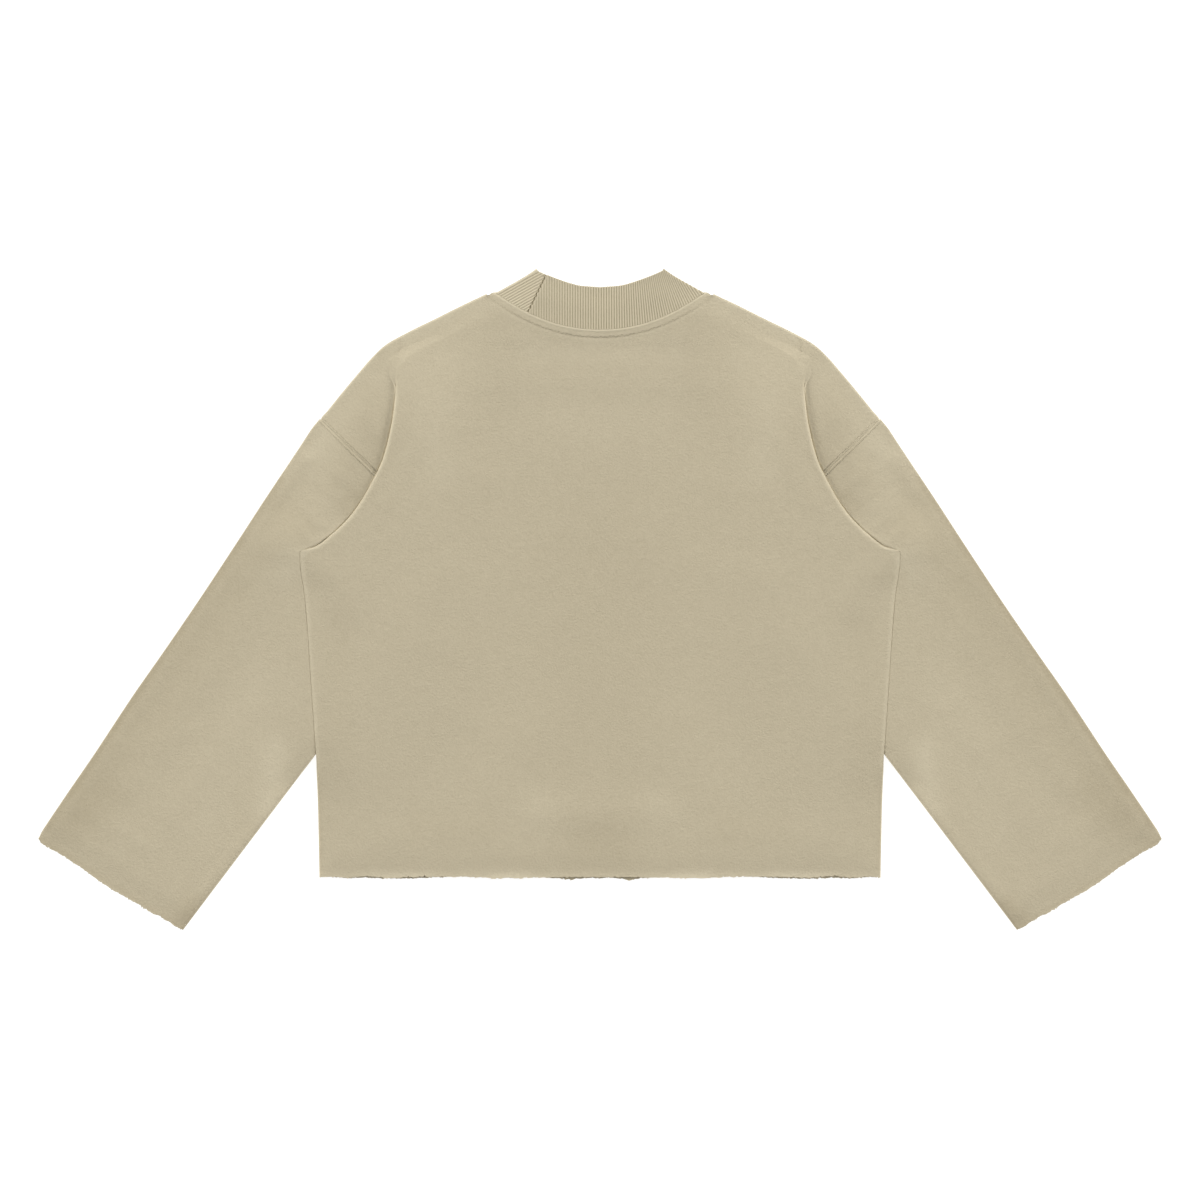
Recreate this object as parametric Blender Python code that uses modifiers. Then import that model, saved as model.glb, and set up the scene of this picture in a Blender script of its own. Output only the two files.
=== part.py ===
"""A mock neck sweatshirt, laid flat on its front with its back upwards.

The body is cropped and boxy, with dropped shoulders, raw-cut hem and cuffs and a double rib collar. The
wide sleeves hang down and in under the body, so each armhole has a pleat: the body's cloth turns under
along a curved fold, runs back in, turns again and comes out below as the drop of the shoulder.

Lengths are in millimetres and are turned to metres where a point is made. X runs across the garment and
is given outwards from its centre line, Y runs from hem to neck and Z runs up from the surface it lies on.
"""

import math
from collections import namedtuple

import bmesh
import bpy

MM = 0.001

# Cloth
FLEECE = 1.5  # thickness of the brushed loopback cloth
DOUBLE_RIB = 2.2  # thickness of the collar, two layers of rib
GAP = 0.35  # air between two layers, and between two pieces at a seam
PITCH = FLEECE + GAP  # from the middle of one layer to the middle of the next
PAIR = PITCH / 2  # front and back each lie this far from the space between them
FLOOR_SPACE = FLEECE + GAP / 2  # height of that space where front and back lie on the surface

# Landmarks of the right half, as (across, up)
NECK_SIDE = (103.5, 307.0)
SHOULDER_TIP = (279.5, 180.5)
CUFF_OUTER = (560.5, -238.5)
CUFF_INNER = (416.5, -329.5)
SLEEVE_TUCK = (190.0, -30.0)  # where the sleeve starts to fold back, under the body
SEAM_TUCK = (196.6, 99.1)  # where the armhole seam turns round the hidden fold
TUCK_CLEAR = (1.6, -3.2)  # how far the sleeve's hidden fold keeps off the body's
SEAM_END = (289.0, 42.0)  # where the armhole seam ends, just inside the underarm corner
SEAM_END_CLEAR = (-1.5, -3.5)  # how far the sleeve's end keeps off that place

# Necklines, as heights on the centre line, and the power of their curve
BACK_NECK = 270.5
FRONT_NECK = 225.0
NECK_POWER = 2.1

# Collar: its top edge, level with the photo's two peaks
COLLAR_PEAK = (63.5, 327.6)
BACK_TOP = 311.5
BACK_TOP_POWER = 1.6
FRONT_TOP = 268.0
FRONT_TOP_POWER = 1.8
COLLAR_RINGS = 4
COLLAR_SAG = 1.2  # how far the back of the collar sinks at the middle of its top edge
COLLAR_FOLD_OUT = (0.6, 0.8)  # the way across its side folds
NECK_LIFT = 0.7  # how far the back panel rises to pass over the front of the collar
NECK_LIFT_UP = (190.0, 218.0)  # that rise starts and is whole at these heights
NECK_LIFT_ACROSS = (106.0, 156.0)  # and starts to fall and is gone this far across

# Pleats and edges
ACROSS_STEPS = 3  # columns from the centre line to the foot, and from there to the crest
TURN = PITCH  # radius of the space between front and back where the pair of them turns over
TURN_STEPS = 4
LEG_STEPS = 3
SLEEVE_STEPS = 5  # columns across one wall of a sleeve
LIP_RADIUS = 1.6  # the back turns down over the front's edge at the side and on the shoulder
LIP_DROP = 0.8
LIP_STEPS = 3
LIP_COVER = 2.4  # the front stops this far inside the outline, clear of that lip
CORNER_COVER = 8.0  # and this far inside the underarm corner, where the back wraps round it
HEM_SHOWS = 1.5  # the front's hem is cut this much longer than the back's
MERGE = 0.00002

# Sections of the body, from hem to neck. back_y and front_y are the heights on the centre line. foot and
# crest are where the cloth starts to rise over the sleeve and where it has risen. fold is the edge of the
# pleat, or the side where there is none. over, run and back are the pleat's turn under, its way back in
# and its second turn. edge is where the section ends. lift is its rise in layers of cloth where no pleat
# sets it, and lip is 1 where the back turns down over the front's edge.
Section = namedtuple(
    "Section", "back_y front_y foot crest fold_x fold_y over run back edge_x edge_y lift lip"
)
SIDE = [
    Section(-277.5, -277.5, 120, 200, 280.5, -277.5, 0, 0, 0, 280.5, -277.5, 0.0, 1),
    Section(-240.0, -240.0, 140, 220, 281.2, -240.0, 0, 0, 0, 281.2, -240.0, 0.0, 1),
    Section(-205.0, -205.0, 170, 250, 282.0, -205.0, 0, 0, 0, 282.0, -205.0, 0.0, 1),
    Section(-162.0, -162.0, 190, 272, 283.2, -162.0, 0, 0, 0, 283.2, -162.0, 2.0, 1),
    Section(-115.0, -115.0, 165, 243, 286.2, -115.0, 0, 0, 0, 286.2, -115.0, 2.0, 1),
    Section(-65.0, -65.0, 130, 206, 289.5, -65.0, 0, 0, 0, 289.5, -65.0, 2.2, 1),
    Section(-36.0, -36.0, 105, 180, 291.4, -36.0, 0, 0, 0, 291.4, -36.0, 4.0, 1),
    Section(5.0, 5.0, 105, 180, 294.8, 5.0, 0, 0, 0, 294.8, 5.0, 4.0, 1),
    Section(33.0, 33.0, 105, 180, 298.8, 33.0, 0, 0, 0, 298.8, 33.0, 4.0, 1),
    Section(47.0, 47.0, 105, 180, 299.5, 47.5, 0, 0, 0, 299.5, 47.5, 4.0, 1),
]
PLEAT = [
    Section(54.0, 54.0, 105, 180, 284.0, 54.0, 180, 3.5, 0, 0, 0, 4.0, 0),
    Section(66.0, 66.0, 105, 180, 266.0, 67.5, 180, 5.3, 0, 0, 0, 4.0, 0),
    Section(80.0, 80.0, 105, 180, 250.5, 82.5, 180, 9.7, 0, 0, 0, 4.0, 0),
    Section(96.0, 95.0, 105, 180, 238.0, 99.5, 180, 17.5, 0, 0, 0, 4.0, 0),
    Section(108.0, 107.0, 105, 178, 231.0, 111.5, 180, 28.5, 0, 0, 0, 4.0, 0),
    Section(111.0, 109.0, 105, 178, 229.6, 114.1, 180, 29.5, 60, 0, 0, 4.0, 0),
    Section(114.0, 111.0, 105, 178, 228.2, 116.7, 180, 30.2, 120, 0, 0, 4.0, 0),
    Section(116.5, 113.0, 105, 178, 226.9, 119.3, 180, 30.2, 180, 0, 0, 4.0, 0),
    Section(120.0, 116.0, 105, 178, 225.0, 123.0, 180, 28.5, 180, 204.0, 106.3, 4.0, 0),
    Section(137.0, 130.0, 105, 178, 217.5, 139.0, 180, 17.0, 180, 225.5, 127.5, 4.0, 0),
    Section(156.0, 146.0, 105, 178, 211.0, 157.5, 180, 7.0, 180, 252.0, 153.5, 4.0, 0),
    Section(173.0, 160.0, 105, 176, 206.8, 172.0, 166, 2.0, 166, 276.6, 177.7, 0.0, 0),
    Section(178.0, 164.0, 105, 176, 205.4, 177.0, 155, 1.2, 155, 279.0, 180.8, 0.0, 1),
    Section(189.0, 171.0, 105, 174, 202.8, 187.5, 125, 1.8, 125, 273.0, 187.9, 0.0, 1),
    Section(196.0, 177.0, 105, 173, 201.2, 194.5, 98, 3.0, 98, 268.7, 192.8, 0.0, 1),
    Section(203.0, 182.0, 105, 172, 200.5, 201.0, 70, 5.0, 70, 264.0, 198.1, 0.0, 1),
    Section(215.0, 190.0, 105, 168, 199.5, 212.0, 35, 9.0, 35, 254.0, 209.5, 0.0, 1),
    Section(228.0, 198.0, 105, 165, 200.0, 225.0, 12, 12.0, 12, 240.0, 225.5, 0.0, 1),
]
SHOULDER = [
    Section(240.0, 204.0, 100, 155, 194.0, 238.5, 0, 12, 0, 226.5, 240.8, 0.0, 1),
    Section(252.0, 210.0, 90, 145, 181.0, 251.0, 0, 10, 0, 214.5, 254.5, 0.0, 1),
    Section(257.5, 214.5, 80, 130, 161.0, 262.5, 0, 9, 0, 189.3, 267.6, 0.0, 1),
    Section(262.0, 218.5, 66, 115, 141.0, 275.5, 0, 8, 0, 164.0, 280.6, 0.0, 1),
    Section(266.5, 222.0, 55, 100, 121.5, 290.0, 0, 6, 0, 138.8, 293.4, 0.0, 1),
    Section(BACK_NECK, FRONT_NECK, 45, 84, *NECK_SIDE, 0, 3, 0, 113.5, 306.0, 0.0, 1),
]

# Rings of a sleeve, from cuff to armhole. outer and inner are shares of its two long edges, inner up to
# where it starts to fold back. tuck and flap are shares of the hidden fold and of the underarm seam past
# that place, and turn is how far the flap has turned over, in degrees.
Ring = namedtuple("Ring", "outer inner tuck flap turn")
SLEEVE = [
    Ring(0.00, 0.00, 0.00, 0.00, 0),
    Ring(0.13, 0.16, 0.00, 0.00, 0),
    Ring(0.31, 0.37, 0.00, 0.00, 0),
    Ring(0.49, 0.60, 0.00, 0.00, 0),
    Ring(0.66, 0.82, 0.00, 0.00, 0),
    Ring(0.79, 1.00, 0.00, 0.00, 0),
    Ring(0.81, 1.00, 0.07, 0.015, 90),
    Ring(0.84, 1.00, 0.16, 0.12, 180),
    Ring(0.92, 1.00, 0.55, 0.52, 180),
    Ring(1.00, 1.00, 1.00, 1.00, 180),
]


def smooth_step(value):
    """0 below 0, 1 above 1, and an easy curve between."""
    t = min(max(value, 0.0), 1.0)
    return t * t * (3 - 2 * t)


def between(start, end, share):
    """The point at a share of the way from one point to another."""
    return tuple(a + (b - a) * share for a, b in zip(start, end))


def outward_directions(points):
    """Unit vectors across a run of points, away from the centre line."""
    found = []
    for i in range(len(points)):
        before = points[max(i - 1, 0)]
        after = points[min(i + 1, len(points) - 1)]
        along = (after[0] - before[0], after[1] - before[1])
        length = math.hypot(*along)
        found.append((along[1] / length, -along[0] / length))
    return found


def pleat_profile(over, run, back, side):
    """A pleat seen along its fold: (out, up) from where it starts, for the layer on this side of the pair.

    The space between front and back turns under by `over` degrees, runs straight and turns back. side is
    +1 for the back, which lies above the space where the cloth is flat, and -1 for the front.
    """
    stations = []
    out, up, heading = 0.0, 0.0, 0.0
    for turn in (-over, back):
        step = math.radians(turn) / TURN_STEPS
        for _ in range(TURN_STEPS):
            chord = 2 * TURN * math.sin(abs(step) / 2)
            out += chord * math.cos(heading + step / 2)
            up += chord * math.sin(heading + step / 2)
            heading += step
            stations.append((out, up, heading))
        if len(stations) == TURN_STEPS:
            out += run * math.cos(heading)
            up += run * math.sin(heading)
            stations.append((out, up, heading))
    shifted = []
    for out, up, heading in stations:
        shifted.append((out - side * PAIR * math.sin(heading), up + side * PAIR * math.cos(heading)))
    return shifted


def pleat_drop(section):
    """How far the space between front and back comes down through a pleat."""
    angle = math.radians(section.over)
    return 2 * TURN * (1 - math.cos(angle)) + section.run * math.sin(angle)


def places_across(section, end):
    """Where a section's columns lie, from the centre line to an end."""
    shares = [i / ACROSS_STEPS for i in range(ACROSS_STEPS + 1)]
    places = [section.foot * share for share in shares]
    places += [section.foot + (section.crest - section.foot) * share for share in shares[1:]]
    places += [(section.crest + end) / 2, end]
    return places


def section_points(section, direction, side, outward):
    """One panel's section, as points from the centre line outwards.

    direction points across the fold, and outward across the edge where the section ends.
    """
    is_back = side > 0
    mid_y = section.back_y if is_back else section.front_y
    pleated = section.over > 0
    lift = section.lift * PITCH if section.lift else pleat_drop(section)
    top_row = section.fold_x == NECK_SIDE[0]
    if top_row:
        mid_y -= GAP / 2
    has_leg = section.edge_x > 0 and section.edge_x != section.fold_x
    inset = 0.0
    if pleated:
        inset = FLEECE / 2 + (TURN + PAIR) * math.sin(math.radians(min(section.over, 90)))
    trim = GAP / 2
    if section.lip:
        trim = FLEECE / 2 + LIP_RADIUS if is_back else LIP_COVER
    if section is SIDE[-1] and not is_back:
        trim = CORNER_COVER
    if not pleated and not has_leg:
        inset = trim
    start = (section.fold_x - direction[0] * inset, section.fold_y - direction[1] * inset)

    points = []
    for x in places_across(section, start[0]):
        y = mid_y + (start[1] - mid_y) * (x / start[0]) ** NECK_POWER
        rise = lift * smooth_step((x - section.foot) / (section.crest - section.foot))
        points.append((x, y, FLOOR_SPACE + rise + side * PAIR))

    level = FLOOR_SPACE + lift
    if pleated:
        for out, up in pleat_profile(section.over, section.run, section.back, side):
            points.append((start[0] + direction[0] * out, start[1] + direction[1] * out, level + up))
    else:
        runs = (section.run if has_leg else 0.0,) * (2 * TURN_STEPS + 1)
        points += [(start[0] + run, start[1], level + side * PAIR) for run in runs]

    last = points[-1]
    if has_leg:
        end = (section.edge_x - outward[0] * trim, section.edge_y - outward[1] * trim)
        for i in range(1, LEG_STEPS + 1):
            points.append((*between(last[:2], end, i / LEG_STEPS), last[2]))
    else:
        points += [last] * LEG_STEPS
    last = points[-1]
    for i in range(1, LIP_STEPS + 2):
        angle = math.radians(90 * min(i, LIP_STEPS) / LIP_STEPS)
        out = LIP_RADIUS * math.sin(angle)
        down = LIP_RADIUS * (1 - math.cos(angle)) + (LIP_DROP if i > LIP_STEPS else 0.0)
        if not (section.lip and is_back):
            out, down = 0.0, 0.0
        points.append((last[0] + outward[0] * out, last[1] + outward[1] * out, last[2] - down))
    if is_back:
        points = [(x, y, z + NECK_LIFT * neck_share(x, y)) for x, y, z in points]
    return points


def neck_share(x, y):
    """1 where the back panel lies over the front of the collar, falling to 0 around it."""
    low, high = NECK_LIFT_UP
    inner, outer = NECK_LIFT_ACROSS
    return smooth_step((y - low) / (high - low)) * (1 - smooth_step((x - inner) / (outer - inner)))


def panel_rows(side):
    """Every section of one panel, as rows of points."""
    folds = outward_directions([(s.fold_x, s.fold_y) for s in PLEAT])
    edges = {}
    for lip in (0, 1):
        ended = [s for s in PLEAT + SHOULDER if s.edge_x and s.lip == lip]
        edges.update(zip(ended, outward_directions([(s.edge_x, s.edge_y) for s in ended])))
    rows = []
    for section in SIDE:
        rows.append(section_points(section, (1.0, 0.0), side, (1.0, 0.0)))
    for i, section in enumerate(PLEAT + SHOULDER):
        direction = folds[i] if i < len(PLEAT) else (1.0, 0.0)
        outward = edges.get(section, (1.0, 0.0))
        rows.append(section_points(section, direction, side, outward))
    if side < 0:
        rows[0] = [(x, y - HEM_SHOWS, z) for x, y, z in rows[0]]
    return rows


def arc_between(centre, direction, radius, start, end):
    """Points round a turn whose plane stands on `direction`, angles in degrees from that direction, up."""
    points = []
    for i in range(TURN_STEPS + 1):
        angle = math.radians(start + (end - start) * i / TURN_STEPS)
        out = radius * math.cos(angle)
        points.append(
            (
                centre[0] + direction[0] * out,
                centre[1] + direction[1] * out,
                centre[2] + radius * math.sin(angle),
            )
        )
    return points


def unit(start, end):
    """The direction from one point to another, seen from above."""
    length = math.hypot(end[0] - start[0], end[1] - start[1])
    return ((end[0] - start[0]) / length, (end[1] - start[1]) / length)


def sleeve_ring(ring):
    """A closed ring of a sleeve: its back wall from the outer edge in, its flap, and its front wall out."""
    along = unit(SHOULDER_TIP, SEAM_TUCK)
    seam_side = (-along[1], along[0])  # away from the armhole seam, into the sleeve
    armhole_outer = tuple(a + GAP / 2 * b for a, b in zip(SHOULDER_TIP, seam_side))
    seam_tuck = tuple(a + GAP / 2 * b for a, b in zip(SEAM_TUCK, seam_side))
    armhole_tuck = (seam_tuck[0] + TUCK_CLEAR[0], seam_tuck[1] + TUCK_CLEAR[1])
    armhole_flap = (SEAM_END[0] + SEAM_END_CLEAR[0], SEAM_END[1] + SEAM_END_CLEAR[1])
    outer = between(CUFF_OUTER, armhole_outer, ring.outer)
    inner = between(CUFF_INNER, SLEEVE_TUCK, ring.inner)
    tuck = between(SLEEVE_TUCK, armhole_tuck, ring.tuck) if ring.turn else inner
    flap = between(SLEEVE_TUCK, armhole_flap, ring.flap) if ring.turn else inner
    aim = between(tuck, seam_tuck, ring.tuck**4)
    inwards = unit(outer, aim)
    edge = FLEECE / 2 + PAIR
    outer = (outer[0] + inwards[0] * edge, outer[1] + inwards[1] * edge)
    if not ring.turn:
        tuck = (tuck[0] - inwards[0] * edge, tuck[1] - inwards[1] * edge)
        aim = tuck
    walls = {}
    for side in (1, -1):
        wall = []
        for i in range(SLEEVE_STEPS):
            wall.append((*between(outer, aim, i / SLEEVE_STEPS), FLOOR_SPACE + side * PAIR))
        wall.append((*tuck, FLOOR_SPACE + side * PAIR))
        centre = (*tuck, FLOOR_SPACE + TURN)
        if ring.turn:
            wall += arc_between(centre, (-1.0, 0.0), TURN - side * PAIR, -90, ring.turn - 90)[1:]
        else:
            wall += [wall[-1]] * TURN_STEPS
        top = wall[-1]
        if ring.turn == 180:
            wall += [(*between(top[:2], flap, share), top[2]) for share in (0.5, 1.0)]
        else:
            wall += [top] * 2
        walls[side] = wall
    back, front = walls[1], walls[-1]
    middle = between(back[-1], front[-1], 0.5)
    if ring.turn == 180:
        end = arc_between(middle, unit(tuck, flap), PAIR, -90, 90)
    elif ring.turn:
        end = [back[-1]]
        for angle in (45, 90, 135):
            out = math.cos(math.radians(angle)) * PAIR
            up = math.sin(math.radians(angle)) * PAIR
            end.append((middle[0] + out, middle[1], middle[2] + up))
        end.append(front[-1])
    else:
        end = arc_between(middle, inwards, PAIR, 90, -90)
    outwards = (-inwards[0], -inwards[1])
    start = arc_between((*outer, FLOOR_SPACE), outwards, PAIR, -90, 90)
    return back + end[1:-1] + front[::-1] + start[1:-1]


def collar_rings():
    """Half rings of the collar from the neck seam up: the back from the centre line out, then the front."""
    neck = SHOULDER[-1]
    shares = [x / neck.fold_x for x in places_across(neck, neck.fold_x)]
    front_z = DOUBLE_RIB / 2
    back_z = DOUBLE_RIB * 1.5 + GAP
    rings = []
    for i in range(COLLAR_RINGS):
        up = i / (COLLAR_RINGS - 1)
        side_x = NECK_SIDE[0] + (COLLAR_PEAK[0] - NECK_SIDE[0]) * up
        halves = []
        for seam, edge, power in (
            (BACK_NECK, BACK_TOP, BACK_TOP_POWER),
            (FRONT_NECK, FRONT_TOP, FRONT_TOP_POWER),
        ):
            half = []
            for share in shares:
                low = seam + GAP / 2 + (NECK_SIDE[1] - seam) * share**NECK_POWER
                high = edge + (COLLAR_PEAK[1] - edge) * share**power
                half.append((side_x * share, low + (high - low) * up))
            halves.append(half)
        back = []
        for (x, y), share in zip(halves[0], shares):
            back.append((x, y, back_z - COLLAR_SAG * up * (1 - share**2)))
        front = [(x, y, front_z) for x, y in halves[1]]
        middle = between(back[-1], front[-1], 0.5)
        turn = arc_between(middle, COLLAR_FOLD_OUT, (back_z - front_z) / 2, 90, -90)
        rings.append(back + turn[1:-1] + front[::-1])
    return rings


def make_material(name, colour, roughness):
    """A plain cloth finish."""
    material = bpy.data.materials.new(name)
    material.use_nodes = True
    shader = material.node_tree.nodes["Principled BSDF"]
    shader.inputs["Base Color"].default_value = (*colour, 1.0)
    shader.inputs["Roughness"].default_value = roughness
    shader.inputs["Metallic"].default_value = 0.0
    return material


def make_sheet(name, rows, material, thickness, collection, closed=False, mirror=False, flip=1):
    """A wall of cloth: a surface through rows of points, given its thickness on both sides of it."""
    form = bmesh.new()
    grid = []
    for row in rows:
        grid.append([form.verts.new((flip * x * MM, y * MM, z * MM)) for x, y, z in row])
    for low, high in zip(grid, grid[1:]):
        count = len(low)
        for i in range(count if closed else count - 1):
            j = (i + 1) % count
            form.faces.new((low[i], low[j], high[j], high[i]))
    bmesh.ops.remove_doubles(form, verts=form.verts, dist=MERGE)
    bmesh.ops.dissolve_degenerate(form, edges=form.edges, dist=MERGE)
    bmesh.ops.recalc_face_normals(form, faces=form.faces)
    mesh = bpy.data.meshes.new(name)
    form.to_mesh(mesh)
    form.free()
    mesh.materials.append(material)
    mesh.shade_smooth()
    piece = bpy.data.objects.new(name, mesh)
    collection.objects.link(piece)
    if mirror:
        halves = piece.modifiers.new("Halves", "MIRROR")
        halves.merge_threshold = MERGE
    wall = piece.modifiers.new("Wall", "SOLIDIFY")
    wall.thickness = thickness * MM
    wall.offset = 0.0
    return piece


def clear_scene():
    """Empties the scene that Blender starts with."""
    for old in list(bpy.data.objects):
        bpy.data.objects.remove(old)


def build():
    """The five pieces of the garment."""
    clear_scene()
    collection = bpy.data.collections.new("mock_neck_sweatshirt")
    bpy.context.scene.collection.children.link(collection)
    fleece = make_material("brushed_fleece", (0.515, 0.451, 0.319), 0.95)
    rib = make_material("double_rib", (0.500, 0.436, 0.305), 0.9)
    make_sheet("front", panel_rows(-1), fleece, FLEECE, collection, mirror=True)
    make_sheet("back", panel_rows(1), fleece, FLEECE, collection, mirror=True)
    rings = [sleeve_ring(ring) for ring in SLEEVE]
    make_sheet("sleeve_left", rings, fleece, FLEECE, collection, closed=True, flip=-1)
    make_sheet("sleeve_right", rings, fleece, FLEECE, collection, closed=True)
    make_sheet("collar", collar_rings(), rib, DOUBLE_RIB, collection, mirror=True)


build()
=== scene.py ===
# %% [markdown]
# # A mock neck sweatshirt, laid flat with its back up
# The garment is five sewn pieces: a front, a back, two sleeves and a double rib collar. All of them lie
# almost flat on a table, layer on layer, so the whole picture is made by a few millimetres of height: a
# pleat at each armhole, a rolled edge, a seam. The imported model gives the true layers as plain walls.
# This script lays a fine shell of cloth on each of them, with its creases, seams, stitches and nap.

# %% Load the frame
import math
from collections import namedtuple

import bmesh
import bpy
import numpy as np
from mathutils import Matrix, Vector
from mathutils.bvhtree import BVHTree


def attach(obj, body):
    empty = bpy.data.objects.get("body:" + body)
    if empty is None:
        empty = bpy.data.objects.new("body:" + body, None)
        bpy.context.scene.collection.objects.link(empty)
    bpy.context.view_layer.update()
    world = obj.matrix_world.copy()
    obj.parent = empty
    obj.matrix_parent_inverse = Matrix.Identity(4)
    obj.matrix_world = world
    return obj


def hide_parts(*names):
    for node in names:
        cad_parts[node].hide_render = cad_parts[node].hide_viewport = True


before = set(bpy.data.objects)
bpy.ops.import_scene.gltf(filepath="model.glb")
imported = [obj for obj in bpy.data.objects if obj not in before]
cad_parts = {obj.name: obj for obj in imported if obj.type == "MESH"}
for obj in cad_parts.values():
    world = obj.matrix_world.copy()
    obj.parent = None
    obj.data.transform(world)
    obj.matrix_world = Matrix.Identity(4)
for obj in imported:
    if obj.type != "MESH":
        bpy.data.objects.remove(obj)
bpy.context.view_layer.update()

# %% [markdown]
# ## Sizes
# All lengths below are millimetres, with X across the garment, Y from hem to neck and Z up from the
# table. They repeat the part's own driving sizes. Every shape is worked out from them, and the two halves
# of the garment share one set, because the cut is symmetric.

# %% Sizes of the cloth and its layers
MM = 0.001
FLEECE = 1.5  # brushed loopback cotton
DOUBLE_RIB = 2.2  # rib folded in two along the collar's top edge
GAP = 0.35  # air between layers, and between two pieces at a seam
PITCH = FLEECE + GAP
PAIR = PITCH / 2  # front and back each lie this far from the space between them
FLOOR_SPACE = FLEECE + GAP / 2
TURN = PITCH  # radius of that space where both layers turn over together
LIP_RADIUS = 1.6
LIP_DROP = 0.8
SIDE_BEND = 35.0  # degrees the back turns down where the sleeve lies under it
LIP_COVER = 2.4
SEAM_GAP = 0.1  # between body and sleeve where they are sewn together
CORNER_COVER = 8.0
print("from layer to layer, mm:", PITCH)

# %% Landmarks of the right half
NECK_SIDE = (103.5, 307.0)
SHOULDER_TIP = (279.5, 180.5)
CUFF_OUTER = (560.5, -238.5)
CUFF_INNER = (416.5, -329.5)
SLEEVE_TUCK = (190.0, -30.0)
SEAM_TUCK = (196.6, 99.1)
SEAM_END = (287.5, 38.5)
TUCK_CLEAR = (1.6, -3.2)
BACK_NECK = 270.5
FRONT_NECK = 225.0
NECK_POWER = 2.1
NECK_LIFT = 0.7
OUTLINE = [
    (0, -277.5), (281, -277.5), (283, -162), CUFF_INNER, CUFF_OUTER, SHOULDER_TIP,
    (229, 240.8), (214.5, 254.5), (113.5, 306), (63.5, 328), (0, 311.5),
]

# %% [markdown]
# ## The body's sections
# A row of this table is a section across the garment, from hem to neck. At first the cloth is flat, then
# it rises from `foot` to `crest` over the sleeve that lies under it, and ends at its `fold`, which is the
# pleat's edge, or the side seam where there is no pleat. `over`, `run` and `back` are the pleat's turn
# under, its way back in and its second turn. `edge` is where the section ends: the armhole seam or the
# shoulder. `lip` is 1 where the back turns down over the front's edge.

# %% Table of sections
Section = namedtuple(
    "Section", "back_y front_y foot crest fold_x fold_y over run back edge_x edge_y lift lip"
)
SIDE = [
    Section(-277.5, -277.5, 120, 200, 280.5, -277.5, 0, 0, 0, 280.5, -277.5, 0.0, 1),
    Section(-240.0, -240.0, 140, 240, 281.2, -240.0, 0, 0, 0, 281.2, -240.0, 0.35, 1),
    Section(-205.0, -205.0, 135, 245, 282.0, -205.0, 0, 0, 0, 282.0, -205.0, 1.0, 1),
    Section(-162.0, -162.0, 125, 250, 283.2, -162.0, 0, 0, 0, 283.2, -162.0, 2.1, 1),
    Section(-115.0, -115.0, 105, 238, 286.2, -115.0, 0, 0, 0, 286.2, -115.0, 3.0, 1),
    Section(-65.0, -65.0, 88, 212, 289.5, -65.0, 0, 0, 0, 289.5, -65.0, 3.65, 1),
    Section(-36.0, -36.0, 81, 196, 291.4, -36.0, 0, 0, 0, 291.4, -36.0, 4.0, 1),
    Section(5.0, 5.0, 77, 184, 294.8, 5.0, 0, 0, 0, 294.8, 5.0, 4.0, 1),
    Section(33.0, 33.0, 75, 180, 298.8, 33.0, 0, 0, 0, 298.8, 33.0, 4.0, 1),
    Section(47.0, 47.0, 75, 180, 299.5, 47.5, 0, 0, 0, 299.5, 47.5, 4.0, 1),
]
PLEAT = [
    Section(54.0, 54.0, 75, 180, 284.0, 54.0, 180, 3.5, 0, 0, 0, 4.0, 0),
    Section(66.0, 66.0, 75, 180, 266.0, 67.5, 180, 5.3, 0, 0, 0, 4.0, 0),
    Section(80.0, 80.0, 75, 180, 250.5, 82.5, 180, 9.7, 0, 0, 0, 4.0, 0),
    Section(96.0, 95.0, 75, 180, 238.0, 99.5, 180, 17.5, 0, 0, 0, 4.0, 0),
    Section(108.0, 107.0, 75, 178, 231.0, 111.5, 180, 28.5, 0, 0, 0, 4.0, 0),
    Section(111.0, 109.0, 75, 178, 229.6, 114.1, 180, 29.5, 60, 0, 0, 4.0, 0),
    Section(114.0, 111.0, 75, 178, 228.2, 116.7, 180, 30.2, 120, 0, 0, 4.0, 0),
    Section(116.5, 113.0, 75, 178, 226.9, 119.3, 180, 30.2, 180, 0, 0, 4.0, 0),
    Section(120.0, 116.0, 75, 178, 225.0, 123.0, 180, 28.5, 180, 204.0, 106.3, 4.0, 0),
    Section(137.0, 130.0, 75, 178, 217.5, 139.0, 180, 17.0, 180, 225.5, 127.5, 4.0, 0),
    Section(156.0, 146.0, 75, 178, 212.0, 157.5, 180, 7.0, 180, 252.0, 153.5, 4.0, 0),
    Section(173.0, 160.0, 75, 176, 208.8, 172.0, 166, 0.5, 166, 276.6, 177.7, 0.0, 0),
    Section(178.0, 164.0, 75, 176, 207.8, 177.0, 155, 0.6, 155, 279.0, 180.8, 0.0, 1),
    Section(189.0, 171.0, 72, 174, 206.3, 187.5, 128, 1.1, 128, 273.0, 188.5, 0.0, 1),
    Section(196.0, 177.0, 70, 173, 205.5, 194.5, 110, 1.5, 110, 268.9, 193.6, 0.0, 1),
    Section(203.0, 182.0, 68, 172, 204.8, 201.0, 92, 2.1, 92, 264.6, 199.0, 0.0, 1),
    Section(215.0, 190.0, 64, 170, 203.8, 212.0, 66, 3.1, 66, 255.4, 210.3, 0.0, 1),
    Section(228.0, 198.0, 60, 166, 203.0, 225.0, 25, 7.0, 25, 242.2, 226.0, 0.0, 1),
]
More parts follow.
